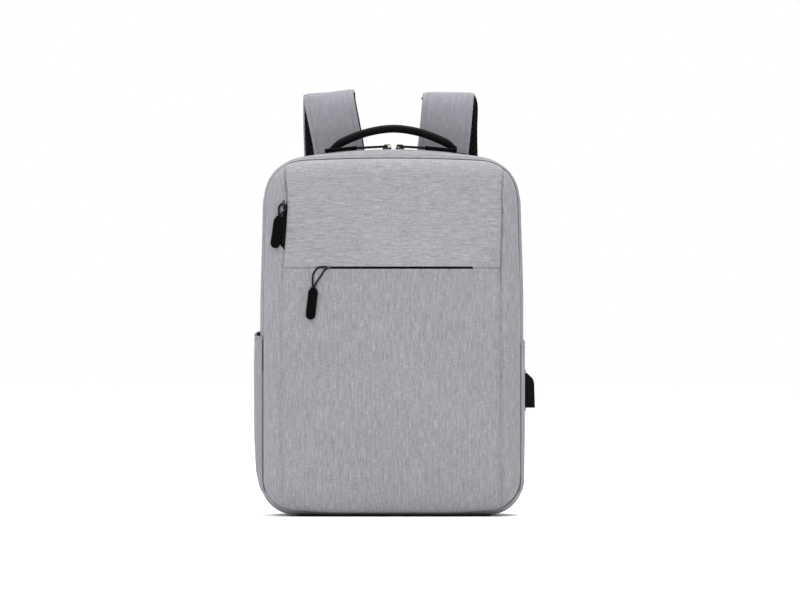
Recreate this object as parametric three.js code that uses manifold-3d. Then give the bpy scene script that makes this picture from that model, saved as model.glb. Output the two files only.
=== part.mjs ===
// Laptop backpack with an outside USB socket. Millimetres, +Z up, the front faces -Y, and the origin is the
// middle of the base on the ground. The front opens like a lid about the lower ends of the main zip.
import * as THREE from "three";
import { mergeVertices } from "three/addons/utils/BufferGeometryUtils.js";
import Module from "manifold-3d";

const wasm = await Module();
wasm.setup();

// ---- Driving dimensions ----
// Outlines of the body seen from the front: one at the main zip, one at the front panel's seam.
const BODY = { half: 150, bottom: 1.8, top: 418, topCorner: 57, bottomCorner: 38, crown: 640 };
const SEAM = { half: 146, bottom: 7, top: 407.6, topCorner: 48, bottomCorner: 36, crown: 2000 };
// Depth stations.
const FRONT_Y = -62;
const SEAM_Y = -44;
const ZIP_Y = -22;
const ZIP_HALF_GAP = 5;
const BACK_BEND_Y = 50;
const BACK_Y = 60;
const WALL = 4;
const GAP = 0.3;
// The front section turns about the lower ends of the main zip.
const FOLD_Z = 215;
const FOLD_HALF_ANGLE = 20;
const WING_INSET = 21;
const POCKET = { front: -42, back: 30, bottom: 28, top: 206, cloth: 2.2 };
const PAD_DEPTH = 9;
const LAPTOP = { half: 140, top: 300, near: 22, thick: 8 };
const HANDLE = { y: 28, pivot: 419, reach: 72, width: 20, thick: 9 };
const STRAP = { width: 60, thick: 12, pivotY: 88, pivotZ: 487, endZ: 172 };
const WEBBING = { width: 25, thick: 1.5 };
const BUCKLE = { width: 35, height: 34, thick: 4, rail: 4, y: 105, z: 146 };
const GRIP = { length: 37, width: 11, thick: 4 };
const CORD = { radius: 1, half: 5 };
const MAIN_SLIDER_X = 7.3;
const SLIDER = { length: 10, width: 7, plate: 2, bridge: 3.6 };
const USB = { y: 42, width: 18, top: 162.5, bottom: 122.5, proud: 12.5 };

// ---- Materials ----
const cloth = (color) => new THREE.MeshStandardMaterial({ color, roughness: 0.92, metalness: 0 });
const MATERIALS = {
  heather: cloth(0xa3a1a7),
  lining: cloth(0x4a4b50),
  mesh: cloth(0x17171b),
  webbing: cloth(0x18181c),
  zip: cloth(0x0f0f12),
  base: cloth(0x1b1b1e),
  rubber: new THREE.MeshStandardMaterial({ color: 0x141417, roughness: 0.6, metalness: 0 }),
  plastic: new THREE.MeshStandardMaterial({ color: 0x151518, roughness: 0.45, metalness: 0 }),
  board: new THREE.MeshStandardMaterial({ color: 0xd8d8d2, roughness: 0.5, metalness: 0 }),
  steel: new THREE.MeshStandardMaterial({ color: 0xb9bbc0, roughness: 0.3, metalness: 1 }),
  slider: new THREE.MeshStandardMaterial({ color: 0x1a1a1d, roughness: 0.35, metalness: 0.7 }),
};

// ---- Geometry helpers ----
const RAD = Math.PI / 180;
const v3 = (x, y, z) => new THREE.Vector3(x, y, z);

// Points of an arc in a plane, its end left out unless it is asked for.
function arc(cx, cy, radius, from, to, steps, withEnd = false) {
  const count = withEnd ? steps + 1 : steps;
  return Array.from({ length: count }, (_, i) => {
    const angle = (from + ((to - from) * i) / steps) * RAD;
    return new THREE.Vector2(cx + radius * Math.cos(angle), cy + radius * Math.sin(angle));
  });
}

// A closed outline in the XZ plane: straight sides and bottom, round corners and a crowned top.
function outline(spec, inset = 0, steps = 5) {
  const half = spec.half - inset;
  const bottom = spec.bottom + inset;
  const top = spec.top - inset;
  const low = Math.max(spec.bottomCorner - inset, 4);
  const high = Math.max(spec.topCorner - inset, 4);
  const crown = spec.crown - inset;
  const cx = half - high;
  const cz = top - crown + Math.sqrt((crown - high) ** 2 - cx ** 2);
  const turn = Math.asin(cx / (crown - high)) / RAD;
  return [
    ...arc(half - low, bottom + low, low, -90, 0, steps, true),
    ...arc(cx, cz, high, 0, 90 - turn, steps),
    ...arc(0, top - crown, crown, 90 - turn, 90 + turn, steps + 1),
    ...arc(-cx, cz, high, 90 + turn, 180, steps, true),
    ...arc(low - half, bottom + low, low, 180, 270, steps, true),
  ];
}

const ringAt = (points, y) => points.map((p) => v3(p.x, y, p.y));
const ring = (spec, inset, y) => ringAt(outline(spec, inset), y);

// A geometry from points and triangles, turned so that its faces point out.
function closedGeometry(points, triangles) {
  let volume = 0;
  for (const [a, b, c] of triangles) {
    volume += points[a].dot(points[b].clone().cross(points[c]));
  }
  const index = volume < 0 ? triangles.map(([a, b, c]) => [a, c, b]) : triangles;
  const geometry = new THREE.BufferGeometry().setFromPoints(points);
  geometry.setIndex(index.flat());
  geometry.computeVertexNormals();
  return geometry;
}

// Joins rings of equally many points. The ends are closed by fans, or the last ring meets the first.
function loft(rings, endless = false) {
  const n = rings[0].length;
  const points = rings.flat();
  const triangles = [];
  const spans = endless ? rings.length : rings.length - 1;
  for (let i = 0; i < spans; i++) {
    const a = i * n;
    const b = ((i + 1) % rings.length) * n;
    for (let j = 0; j < n; j++) {
      const k = (j + 1) % n;
      triangles.push([a + j, a + k, b + k], [a + j, b + k, b + j]);
    }
  }
  if (!endless) {
    for (const [start, flip] of [[0, true], [(rings.length - 1) * n, false]]) {
      const centre = rings[start / n].reduce((sum, p) => sum.add(p), v3(0, 0, 0)).divideScalar(n);
      points.push(centre);
      for (let j = 0; j < n; j++) {
        const k = (j + 1) % n;
        const fan = [start + j, start + k, points.length - 1];
        triangles.push(flip ? [fan[1], fan[0], fan[2]] : fan);
      }
    }
  }
  return closedGeometry(points, triangles);
}

// A closed slab between two surfaces, outer(u, v) and inner(u, v), on the grid of the values given.
function slab(uValues, vValues, outer, inner) {
  const nu = uValues.length - 1;
  const nv = vValues.length - 1;
  const points = [outer, inner].flatMap((side) => uValues.flatMap((u) => vValues.map((v) => side(u, v))));
  const at = (side, i, j) => side * (nu + 1) * (nv + 1) + i * (nv + 1) + j;
  const triangles = [];
  const quad = (a, b, c, d) => triangles.push([a, b, c], [a, c, d]);
  for (let i = 0; i < nu; i++) {
    for (let j = 0; j < nv; j++) {
      quad(at(0, i, j), at(0, i + 1, j), at(0, i + 1, j + 1), at(0, i, j + 1));
      quad(at(1, i, j), at(1, i, j + 1), at(1, i + 1, j + 1), at(1, i + 1, j));
    }
  }
  for (let i = 0; i < nu; i++) {
    quad(at(0, i + 1, 0), at(0, i, 0), at(1, i, 0), at(1, i + 1, 0));
    quad(at(0, i, nv), at(0, i + 1, nv), at(1, i + 1, nv), at(1, i, nv));
  }
  for (let j = 0; j < nv; j++) {
    quad(at(0, 0, j), at(0, 0, j + 1), at(1, 0, j + 1), at(1, 0, j));
    quad(at(0, nu, j + 1), at(0, nu, j), at(1, nu, j), at(1, nu, j + 1));
  }
  return closedGeometry(points, triangles);
}

// A rounded rectangle as points, centred on zero.
function roundRect(width, height, radius, steps = 2) {
  const x = width / 2 - radius;
  const y = height / 2 - radius;
  return [
    ...arc(x, y, radius, 0, 90, steps, true),
    ...arc(-x, y, radius, 90, 180, steps, true),
    ...arc(-x, -y, radius, 180, 270, steps, true),
    ...arc(x, -y, radius, 270, 360, steps, true),
  ];
}

// Sweeps a section along a path. The section's x runs along across, its y along the path's normal.
// The end faces stand square to the path, or to the direction given for them.
function sweep(path, sectionAt, across = v3(1, 0, 0), { start, end } = {}) {
  const last = path.length - 1;
  const rings = path.map((p, i) => {
    const before = path[Math.max(i - 1, 0)];
    const after = path[Math.min(i + 1, last)];
    const given = (i === 0 && start) || (i === last && end);
    const tangent = given ? given.clone() : after.clone().sub(before).normalize();
    const side = across.clone().addScaledVector(tangent, -across.dot(tangent)).normalize();
    const normal = tangent.clone().cross(side);
    return sectionAt(i / last).map((q) =>
      p.clone().addScaledVector(side, q.x).addScaledVector(normal, q.y),
    );
  });
  return loft(rings);
}

const curvePoints = (points, steps, tension = 0.5) =>
  new THREE.CatmullRomCurve3(points, false, "centripetal", tension).getSpacedPoints(steps);

// ---- Solids for cutting and joining ----
function toSolid(geometry) {
  const bare = new THREE.BufferGeometry().setAttribute("position", geometry.getAttribute("position"));
  if (geometry.index) bare.setIndex(geometry.index);
  const merged = mergeVertices(bare, 1e-4);
  return new wasm.Manifold(
    new wasm.Mesh({
      numProp: 3,
      vertProperties: new Float32Array(merged.attributes.position.array),
      triVerts: new Uint32Array(merged.index.array),
    }),
  );
}

function fromSolid(solid) {
  const mesh = solid.getMesh();
  const geometry = new THREE.BufferGeometry();
  geometry.setAttribute("position", new THREE.BufferAttribute(mesh.vertProperties, 3));
  geometry.setIndex(new THREE.BufferAttribute(mesh.triVerts, 1));
  geometry.computeVertexNormals();
  return geometry;
}

const cut = (geometry, ...tools) =>
  fromSolid(tools.reduce((body, tool) => body.subtract(toSolid(tool)), toSolid(geometry)));
const join = (...parts) => fromSolid(parts.map(toSolid).reduce((a, b) => a.add(b)));
const common = (a, b) => fromSolid(toSolid(a).intersect(toSolid(b)));

function block(x0, x1, y0, y1, z0, z1) {
  const box = new THREE.BoxGeometry(x1 - x0, y1 - y0, z1 - z0);
  return box.translate((x0 + x1) / 2, (y0 + y1) / 2, (z0 + z1) / 2);
}

// A prism along X over a polygon of [y, z] corners.
function prism(corners, halfLength) {
  const rings = [-halfLength, halfLength].map((x) => corners.map(([y, z]) => v3(x, y, z)));
  return loft(rings);
}

// A flat plate in the XZ plane from y0 to y1 over outline points.
const plate = (points, y0, y1) => loft([ringAt(points, y0), ringAt(points, y1)]);

// ---- The object: one group, and one mesh per piece ----
const backpack = new THREE.Group();

function add(name, geometry, material, place = null) {
  const mesh = new THREE.Mesh(geometry, material);
  mesh.name = name;
  if (place) mesh.applyMatrix4(place);
  backpack.add(mesh);
  return mesh;
}

// A placement that sends local x to along, local z to out, and the origin to the given point.
function frameAt(point, along, out) {
  const z = out.clone().normalize();
  const x = along.clone().addScaledVector(z, -along.dot(z)).normalize();
  const y = z.clone().cross(x);
  return new THREE.Matrix4().makeBasis(x, y, z).setPosition(point);
}

// ---- Casing: rear shell, lining, board, base ----
function cup(outer, inner) {
  return loft([...outer.map((r) => ring(...r)), ...inner.map((r) => ring(...r))]);
}

const rearEdge = ZIP_Y + ZIP_HALF_GAP;
const frontEdge = ZIP_Y - ZIP_HALF_GAP;

add(
  "rear_shell",
  cup(
    [[BODY, 14, BACK_Y], [BODY, 5, BACK_Y - 2.5], [BODY, 0, BACK_BEND_Y], [BODY, 0, rearEdge]],
    [[BODY, WALL, rearEdge], [BODY, WALL, BACK_BEND_Y - 2], [BODY, 8, BACK_Y - 6], [BODY, 16, BACK_Y - WALL]],
  ),
  MATERIALS.heather,
);

const LINING_OUT = WALL + 0.6;
const LINING_IN = WALL + 1.6;
add(
  "lining",
  cup(
    [[BODY, 16, BACK_Y - 6.1], [BODY, 8.6, BACK_Y - 8], [BODY, LINING_OUT, BACK_BEND_Y - 4], [BODY, LINING_OUT, rearEdge + 2]],
    [[BODY, LINING_IN, rearEdge + 2], [BODY, LINING_IN, BACK_BEND_Y - 4.6], [BODY, 9.2, BACK_Y - 8.8], [BODY, 16, BACK_Y - 7.1]],
  ),
  MATERIALS.lining,
);

add("back_board", plate(outline(BODY, 22, 2), BACK_Y - 5.7, BACK_Y - 4.3), MATERIALS.board);

// The base patch covers the flat of the bottom.
const baseHalf = BODY.half - BODY.bottomCorner;
const basePatch = roundRect(2 * baseHalf, BACK_BEND_Y - SEAM_Y - 6, 14, 3);
const baseCentreY = (BACK_BEND_Y + SEAM_Y + 6) / 2;
const baseRing = (z, inset) =>
  basePatch.map((p) => v3(p.x * (1 - inset / baseHalf), baseCentreY + p.y * (1 - inset / 50), z));
add("base_panel", loft([baseRing(0, 1), baseRing(BODY.bottom - GAP, 0)]), MATERIALS.base);

// ---- Laptop divider and its hook-and-loop tab ----
const dividerHeight = LAPTOP.top - 9;
const dividerShape = [
  ...arc(LAPTOP.half - 34, 43, 34, -90, 0, 4, true),
  ...arc(LAPTOP.half - 14, LAPTOP.top - 14, 14, 0, 90, 3, true),
  ...arc(14 - LAPTOP.half, LAPTOP.top - 14, 14, 90, 180, 3, true),
  ...arc(34 - LAPTOP.half, 43, 34, 180, 270, 4, true),
];
add("laptop_divider", plate(dividerShape, LAPTOP.near, LAPTOP.near + LAPTOP.thick), MATERIALS.lining);

// The tab is sewn to the back at its upper end, goes over the divider and lies on the divider's front.
const tabRoute = curvePoints(
  [v3(0, 51, 322), v3(0, 49.5, 315), v3(0, 44, 308), v3(0, 35, 304.5), v3(0, 25, 304), v3(0, 20, 299), v3(0, 19.4, 262)],
  16,
);
add("laptop_tab", sweep(tabRoute, () => roundRect(38, 1.8, 0.6, 1)), MATERIALS.webbing);

// ---- Front section: panel, fold, walls ----
const frontCup = cup(
  [[SEAM, WING_INSET, FRONT_Y], [SEAM, 10, FRONT_Y + 5], [SEAM, 0, SEAM_Y], [BODY, 0, frontEdge], [BODY, 0, rearEdge - GAP]],
  [[BODY, WALL, rearEdge - GAP], [BODY, WALL, frontEdge], [SEAM, WALL, SEAM_Y + 3], [SEAM, 13, FRONT_Y + 9], [SEAM, 23, FRONT_Y + 4]],
);
// The V that the fold needs, with its point on the turning axis, and a smaller one for the fold's own cloth.
const FAR = 90;
function foldWedge(clearance) {
  const near = ZIP_Y - clearance / Math.sin(FOLD_HALF_ANGLE * RAD);
  const spread = (FAR + near) * Math.tan(FOLD_HALF_ANGLE * RAD);
  return prism([[near, FOLD_Z], [-FAR, FOLD_Z + spread], [-FAR, FOLD_Z - spread]], 180);
}
const openV = foldWedge(0);
const above = block(-200, 200, -100, 100, FOLD_Z, 500);
const below = block(-200, 200, -100, 100, -10, FOLD_Z);
const belowWithGap = block(-200, 200, -100, 100, -10, FOLD_Z + GAP);
const aboveWithGap = block(-200, 200, -100, 100, FOLD_Z - GAP, 500);
const behindFrontEdge = block(-200, 200, frontEdge, 100, -10, 500);

// The front pocket's zip and the small vertical pocket's zip lie in slots through the panel.
const FRONT_ZIP = { left: -81, right: 88, z: 283, half: 1.6, slider: -75 };
const SIDE_ZIP = { x: -124.6, bottom: 240, top: 361, half: 1.6, slider: 354.5 };
const frontSlot = block(FRONT_ZIP.left, FRONT_ZIP.right, -70, -50, FRONT_ZIP.z - FRONT_ZIP.half, FRONT_ZIP.z + FRONT_ZIP.half);
const sideSlot = block(SIDE_ZIP.x - SIDE_ZIP.half, SIDE_ZIP.x + SIDE_ZIP.half, -70, -48, SIDE_ZIP.bottom, SIDE_ZIP.top);
add("front_panel_upper", cut(frontCup, below, openV, behindFrontEdge, frontSlot, sideSlot), MATERIALS.heather);
add("front_panel_lower", cut(frontCup, aboveWithGap, openV), MATERIALS.heather);
add("front_fold", cut(common(frontCup, foldWedge(0.5)), behindFrontEdge), MATERIALS.heather);

const wallOutline = outline(BODY, 7, 3);
const frontWall = plate(wallOutline, -30, -28.6);
add("front_wall_upper", cut(frontWall, belowWithGap, openV), MATERIALS.lining);
add("front_wall_lower", cut(frontWall, aboveWithGap, openV), MATERIALS.lining);

const organizer = roundRect(210, 108, 12, 2).map((p) => new THREE.Vector2(p.x, p.y + 292));
add("organizer_pocket", plate(organizer, -28.2, -25.8), MATERIALS.lining);
const pouch = roundRect(196, 236, 16, 2).map((p) => new THREE.Vector2(p.x, p.y + 172));
add("front_pocket_pouch", plate(pouch, -56.6, -55.4), MATERIALS.lining);

// ---- Zips ----
// A band of the body's outline above the fold, between two depths.
function zipBand(y0, y1) {
  const rings = [ring(BODY, 0.6, y0), ring(BODY, 0.6, y1), ring(BODY, 3, y1), ring(BODY, 3, y0)];
  return loft(rings, true);
}
const tapeInset = GAP / 2;
add("main_zip_rear_tape", cut(zipBand(ZIP_Y + tapeInset, rearEdge - GAP), belowWithGap), MATERIALS.zip);
add("main_zip_front_tape", cut(zipBand(frontEdge + GAP, ZIP_Y - tapeInset), belowWithGap, openV), MATERIALS.zip);
add(
  "front_pocket_zip",
  block(FRONT_ZIP.left + GAP, FRONT_ZIP.right - GAP, -59.6, -58.1, FRONT_ZIP.z - 1.2, FRONT_ZIP.z + 1.2),
  MATERIALS.zip,
);
add(
  "side_pocket_zip",
  block(SIDE_ZIP.x - 1.2, SIDE_ZIP.x + 1.2, -59.6, -58.1, SIDE_ZIP.bottom + GAP, SIDE_ZIP.top - GAP),
  MATERIALS.zip,
);

// ---- Bottle pockets ----
// Half the body's width at a height, at the outline of the main zip.
function halfWidthAt(z) {
  const corner = BODY.bottomCorner;
  const down = Math.max(BODY.bottom + corner - z, 0);
  return BODY.half - corner + Math.sqrt(corner ** 2 - down ** 2);
}
// The gusset narrows from the zip to the front seam.
function taperAt(y) {
  const share = THREE.MathUtils.clamp((frontEdge - y) / (frontEdge - SEAM_Y), 0, 1);
  return (BODY.half - SEAM.half) * share;
}
// The cloth stands off the body by bulge in the middle, and less towards its sewn edges.
function bottlePocket(side, bulge) {
  const depths = [POCKET.front, -36, -31.5, frontEdge, -18, -8, 2, 12, 20, 26, POCKET.back];
  const heights = [POCKET.bottom, BODY.bottom + BODY.bottomCorner, 52, 70, 95, 125, 155, 182, POCKET.top];
  const face = (lift) => (y, z) => {
    const u = (y - POCKET.front) / (POCKET.back - POCKET.front);
    const v = (z - POCKET.bottom) / (POCKET.top - POCKET.bottom);
    const belly = bulge * Math.max(Math.sin(Math.PI * u), 0) ** 0.7 * Math.min(1, 5 * v, 0.25 + 1.1 * v);
    return v3(side * (halfWidthAt(z) - taperAt(y) + GAP + lift + belly), y, z);
  };
  return slab(depths, heights, face(POCKET.cloth), face(0));
}
add("bottle_pocket_left", bottlePocket(-1, 7.4), MATERIALS.heather);
add("bottle_pocket_right", bottlePocket(1, 0), MATERIALS.heather);

// ---- USB socket on the right side ----
const usbX = BODY.half + GAP;
const flange = roundRect(USB.width + 4, USB.top - USB.bottom + 8, 4, 2);
add(
  "usb_flange",
  loft([usbX, usbX + 1.4].map((x) => flange.map((p) => v3(x, USB.y + p.x, (USB.top + USB.bottom) / 2 + p.y)))),
  MATERIALS.rubber,
);
// Side profile of the hood, in X and Z: sloped shoulder on top, flat mouth below.
const hoodBase = usbX + 1.4 + GAP;
const hoodOut = BODY.half + USB.proud;
const hoodProfile = [
  [hoodBase, USB.bottom],
  [hoodOut, USB.bottom],
  [hoodOut - 0.8, USB.top - 12],
  [hoodOut - 2, USB.top - 7],
  [hoodBase + 1.5, USB.top],
  [hoodBase, USB.top],
];
const hoodRing = (y) => hoodProfile.map(([x, z]) => v3(x, y, z));
const socketX = (hoodBase + hoodOut) / 2;
const SOCKET = { x: 6.6, y: 14, depth: 16 };
const hood = loft([hoodRing(USB.y - USB.width / 2), hoodRing(USB.y + USB.width / 2)]);
const mouth = block(
  socketX - SOCKET.x / 2 - GAP, socketX + SOCKET.x / 2 + GAP,
  USB.y - SOCKET.y / 2 - GAP, USB.y + SOCKET.y / 2 + GAP,
  USB.bottom - 1, USB.bottom + SOCKET.depth + GAP,
);
add("usb_housing", cut(hood, mouth), MATERIALS.rubber);
const SHEET = 0.5;
const can = block(
  socketX - SOCKET.x / 2, socketX + SOCKET.x / 2,
  USB.y - SOCKET.y / 2, USB.y + SOCKET.y / 2,
  USB.bottom, USB.bottom + SOCKET.depth,
);
const canHollow = block(
  socketX - SOCKET.x / 2 + SHEET, socketX + SOCKET.x / 2 - SHEET,
  USB.y - SOCKET.y / 2 + SHEET, USB.y + SOCKET.y / 2 - SHEET,
  USB.bottom - 1, USB.bottom + SOCKET.depth - 1,
);
add("usb_socket", cut(can, canHollow), MATERIALS.steel);
add(
  "usb_tongue",
  block(socketX - 1, socketX + 1, USB.y - 5.6, USB.y + 5.6, USB.bottom + 5.5, USB.bottom + SOCKET.depth - 1 - GAP),
  MATERIALS.plastic,
);

// ---- Back: pads, yoke, luggage band ----
function backPad(side) {
  const shape = roundRect(96, 316, 22, 3).map((p) => new THREE.Vector2(side * 74 + p.x, 216 + p.y));
  const inner = roundRect(80, 300, 16, 3).map((p) => new THREE.Vector2(side * 74 + p.x, 216 + p.y));
  const y = BACK_Y + GAP;
  return loft([ringAt(shape, y), ringAt(shape, y + 0.6 * PAD_DEPTH), ringAt(inner, y + PAD_DEPTH)]);
}
add("back_pad_left", backPad(-1), MATERIALS.mesh);
add("back_pad_right", backPad(1), MATERIALS.mesh);

const yoke = roundRect(196, 24, 6, 2).map((p) => new THREE.Vector2(p.x, p.y + 391));
add("strap_yoke", plate(yoke, BACK_Y + GAP, BACK_Y + 3), MATERIALS.heather);

// The band bows off the pads, so that a trolley's handle goes behind it.
const bandRoute = curvePoints(
  [v3(-136, 61.6, 220), v3(-128, 64, 220), v3(-116, 77, 220), v3(-100, 81.5, 220), v3(-60, 81.5, 220),
    v3(60, 81.5, 220), v3(100, 81.5, 220), v3(116, 77, 220), v3(128, 64, 220), v3(136, 61.6, 220)],
  32,
);
add("luggage_band", sweep(bandRoute, () => roundRect(60, 1.8, 0.6, 1), v3(0, 0, 1)), MATERIALS.heather);

// ---- Handle ----
const handleRoute = curvePoints(
  [v3(-HANDLE.reach, HANDLE.y, HANDLE.pivot), v3(-65, HANDLE.y, 424), v3(-53, HANDLE.y, 430.3),
    v3(-28, HANDLE.y, 439.2), v3(0, HANDLE.y, 443), v3(28, HANDLE.y, 439.2), v3(53, HANDLE.y, 430.3),
    v3(65, HANDLE.y, 424), v3(HANDLE.reach, HANDLE.y, HANDLE.pivot)],
  26,
);
function handleSection(s) {
  const fromEnd = Math.min(s, 1 - s);
  const share = THREE.MathUtils.smoothstep(fromEnd, 0, 0.14);
  const width = THREE.MathUtils.lerp(5, HANDLE.width, share);
  const thick = THREE.MathUtils.lerp(4, HANDLE.thick, share);
  return roundRect(width, thick, thick * 0.42, 2);
}
add("handle_grip", sweep(handleRoute, handleSection, v3(0, 1, 0)), MATERIALS.rubber);
for (const [name, side] of [["left", -1], ["right", 1]]) {
  // Height of the crown's surface above a point beside the middle.
  const crownAt = (x) => BODY.top - BODY.crown + Math.sqrt(BODY.crown ** 2 - x ** 2);
  const route = [66, 72, 78, 84].map((x) => v3(side * x, HANDLE.y, crownAt(x) + 0.9));
  add(`handle_patch_${name}`, sweep(route, () => roundRect(22, 1.2, 0.4, 1), v3(0, 1, 0)), MATERIALS.webbing);
}

// ---- Zip sliders and pullers ----
// Local axes of a slider: x along the zip, z out of the cloth. The bridge stands on the plate.
function sliderBody(width, bridgeHalf) {
  const base = loft(
    [0, SLIDER.plate].map((z) => roundRect(SLIDER.length, width, width * 0.22, 2).map((p) => v3(p.x, p.y, z))),
  );
  const arch = [[-4, 0.5], [4, 0.5], [4, 3], [3.4, SLIDER.plate + SLIDER.bridge], [-3.4, SLIDER.plate + SLIDER.bridge], [-4, 3]];
  const bridge = loft([-bridgeHalf, bridgeHalf].map((y) => arch.map(([x, z]) => v3(x, y, z))));
  const eye = block(-3, 3, -3, 3, SLIDER.plate, SLIDER.plate + SLIDER.bridge - 1);
  return join(base, cut(bridge, eye));
}
const EYE_Z = SLIDER.plate + (SLIDER.bridge - 1) / 2;

// Routes of cord loops on the cloth, x and y in a slider's axes. Each passes through the slider's eye at 0, 0.
// end is where the grip begins, and drop is how far the loop sinks from the eye to the grip.
function teardrop(length, half, drop) {
  const near = [[0, 1.3], [0.5, 2.5], [1.7, 3.3]];
  const far = [
    [Math.max(0.25 * length, 4.2), Math.max(0.92 * half, 3.6)], [0.5 * length, half],
    [0.78 * length, 0.55 * half], [length, 0.26 * half],
  ];
  const oneSide = [...near, ...far];
  const route = [[0, 0], ...oneSide, ...oneSide.map(([x, y]) => [x, -y]).reverse()];
  return { route, drop, end: [length + CORD.radius + GAP, 0] };
}
// This loop leaves its slider sideways on one strand and straight down on the other.
const SIDEWAYS_LOOP = {
  route: [
    [0, 0], [0, -1.6], [2.5, -2.3], [6, -1.7], [11, 1.5], [15, 7], [16.7, 12], [16.3, 17], [15.5, 20.4],
    [13.9, 20], [9, 14.5], [3.6, 8], [0.8, 4], [0, 1.7],
  ],
  drop: -1.1,
  end: [15.6, 22.2],
};
function cordLoop({ route, drop, end }) {
  const reach = Math.hypot(...end);
  const points = route.map(([x, y]) => v3(x, y, EYE_Z - (drop * Math.hypot(x, y)) / reach));
  const curve = new THREE.CatmullRomCurve3(points, true, "centripetal");
  const steps = 36;
  const rings = Array.from({ length: steps }, (_, i) => {
    const tangent = curve.getTangentAt(i / steps);
    const up = v3(0, 0, 1);
    const side = up.clone().cross(tangent).normalize();
    const normal = tangent.clone().cross(side);
    return arc(0, 0, CORD.radius, 0, 360, 6).map((q) =>
      curve.getPointAt(i / steps).addScaledVector(side, q.x).addScaledVector(normal, q.y),
    );
  });
  return loft(rings, true);
}

// The grip is a flat rubber tongue with a narrow neck and a round end.
function gripBody() {
  const half = GRIP.width / 2;
  const end = GRIP.length - half;
  const outlinePoints = [
    new THREE.Vector2(0, -2.2), new THREE.Vector2(3, -half + 0.6), new THREE.Vector2(5, -half),
    ...arc(end, 0, half, -90, 90, 7, true),
    new THREE.Vector2(5, half), new THREE.Vector2(3, half - 0.6), new THREE.Vector2(0, 2.2),
  ];
  const layer = (z, inset) =>
    outlinePoints.map((p) => v3(p.x + inset * (p.x > GRIP.length / 2 ? -1 : 1), p.y * (1 - inset / half), z));
  return loft([layer(-GRIP.thick / 2, 0.7), layer(-GRIP.thick / 2 + 0.8, 0), layer(GRIP.thick / 2 - 0.8, 0), layer(GRIP.thick / 2, 0.7)]);
}

// One slider with its loop and grip. place is the slider's frame with x along the zip. turn is the angle in
// the cloth's plane from the zip to the loop, lean turns the grip on from there, dip and roll tip it.
function puller(name, place, body, loop, { turn = 0, lean = 0, dip = 0, roll = 0 }) {
  add(`${name}_slider`, body, MATERIALS.slider, place);
  const hang = place.clone().multiply(new THREE.Matrix4().makeRotationZ(turn * RAD));
  add(`${name}_cord`, cordLoop(loop), MATERIALS.webbing, hang);
  const grip = hang
    .clone()
    .multiply(new THREE.Matrix4().makeTranslation(loop.end[0], loop.end[1], EYE_Z - loop.drop))
    .multiply(new THREE.Matrix4().makeRotationZ(lean * RAD))
    .multiply(new THREE.Matrix4().makeRotationY(dip * RAD))
    .multiply(new THREE.Matrix4().makeRotationX(roll * RAD));
  add(`${name}_grip`, gripBody(), MATERIALS.rubber, grip);
}

// Main zip: the two sliders meet at the middle of the crown, and their pullers lie out along it.
for (const { name, side, length } of [
  { name: "main_left", side: -1, length: 33 },
  { name: "main_right", side: 1, length: 27 },
]) {
  const angle = Math.asin(MAIN_SLIDER_X / (BODY.crown + GAP));
  const out = v3(side * Math.sin(angle), 0, Math.cos(angle));
  const centre = v3(0, ZIP_Y, BODY.top - BODY.crown);
  const point = centre.clone().addScaledVector(out, BODY.crown + GAP);
  const place = frameAt(point, v3(side, 0, 0), out);
  puller(name, place, sliderBody(SLIDER.width, 1.1), teardrop(length, CORD.half, 1.4), { dip: 4.5 });
}
// The concealed zips have narrow sliders whose plates lie inside the slits.
const SUNK_Y = FRONT_Y + SLIDER.plate;
const hiddenSlider = () => sliderBody(2 * FRONT_ZIP.half - 2 * GAP, 0.6);
// Front pocket: the slider stands at the zip's left end, and its puller hangs down and to the left.
puller(
  "front_pocket",
  frameAt(v3(FRONT_ZIP.slider, SUNK_Y, FRONT_ZIP.z), v3(-1, 0, 0), v3(0, -1, 0)),
  hiddenSlider(),
  SIDEWAYS_LOOP,
  { lean: 83.7 },
);
// Vertical pocket on the left crease: the slider stands at the top.
puller(
  "side_pocket",
  frameAt(v3(SIDE_ZIP.x, SUNK_Y, SIDE_ZIP.slider), v3(0, 0, -1), v3(0, -1, 0)),
  hiddenSlider(),
  teardrop(12.4, 3.6, 0),
  { turn: -22, lean: 14, roll: 14 },
);

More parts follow.
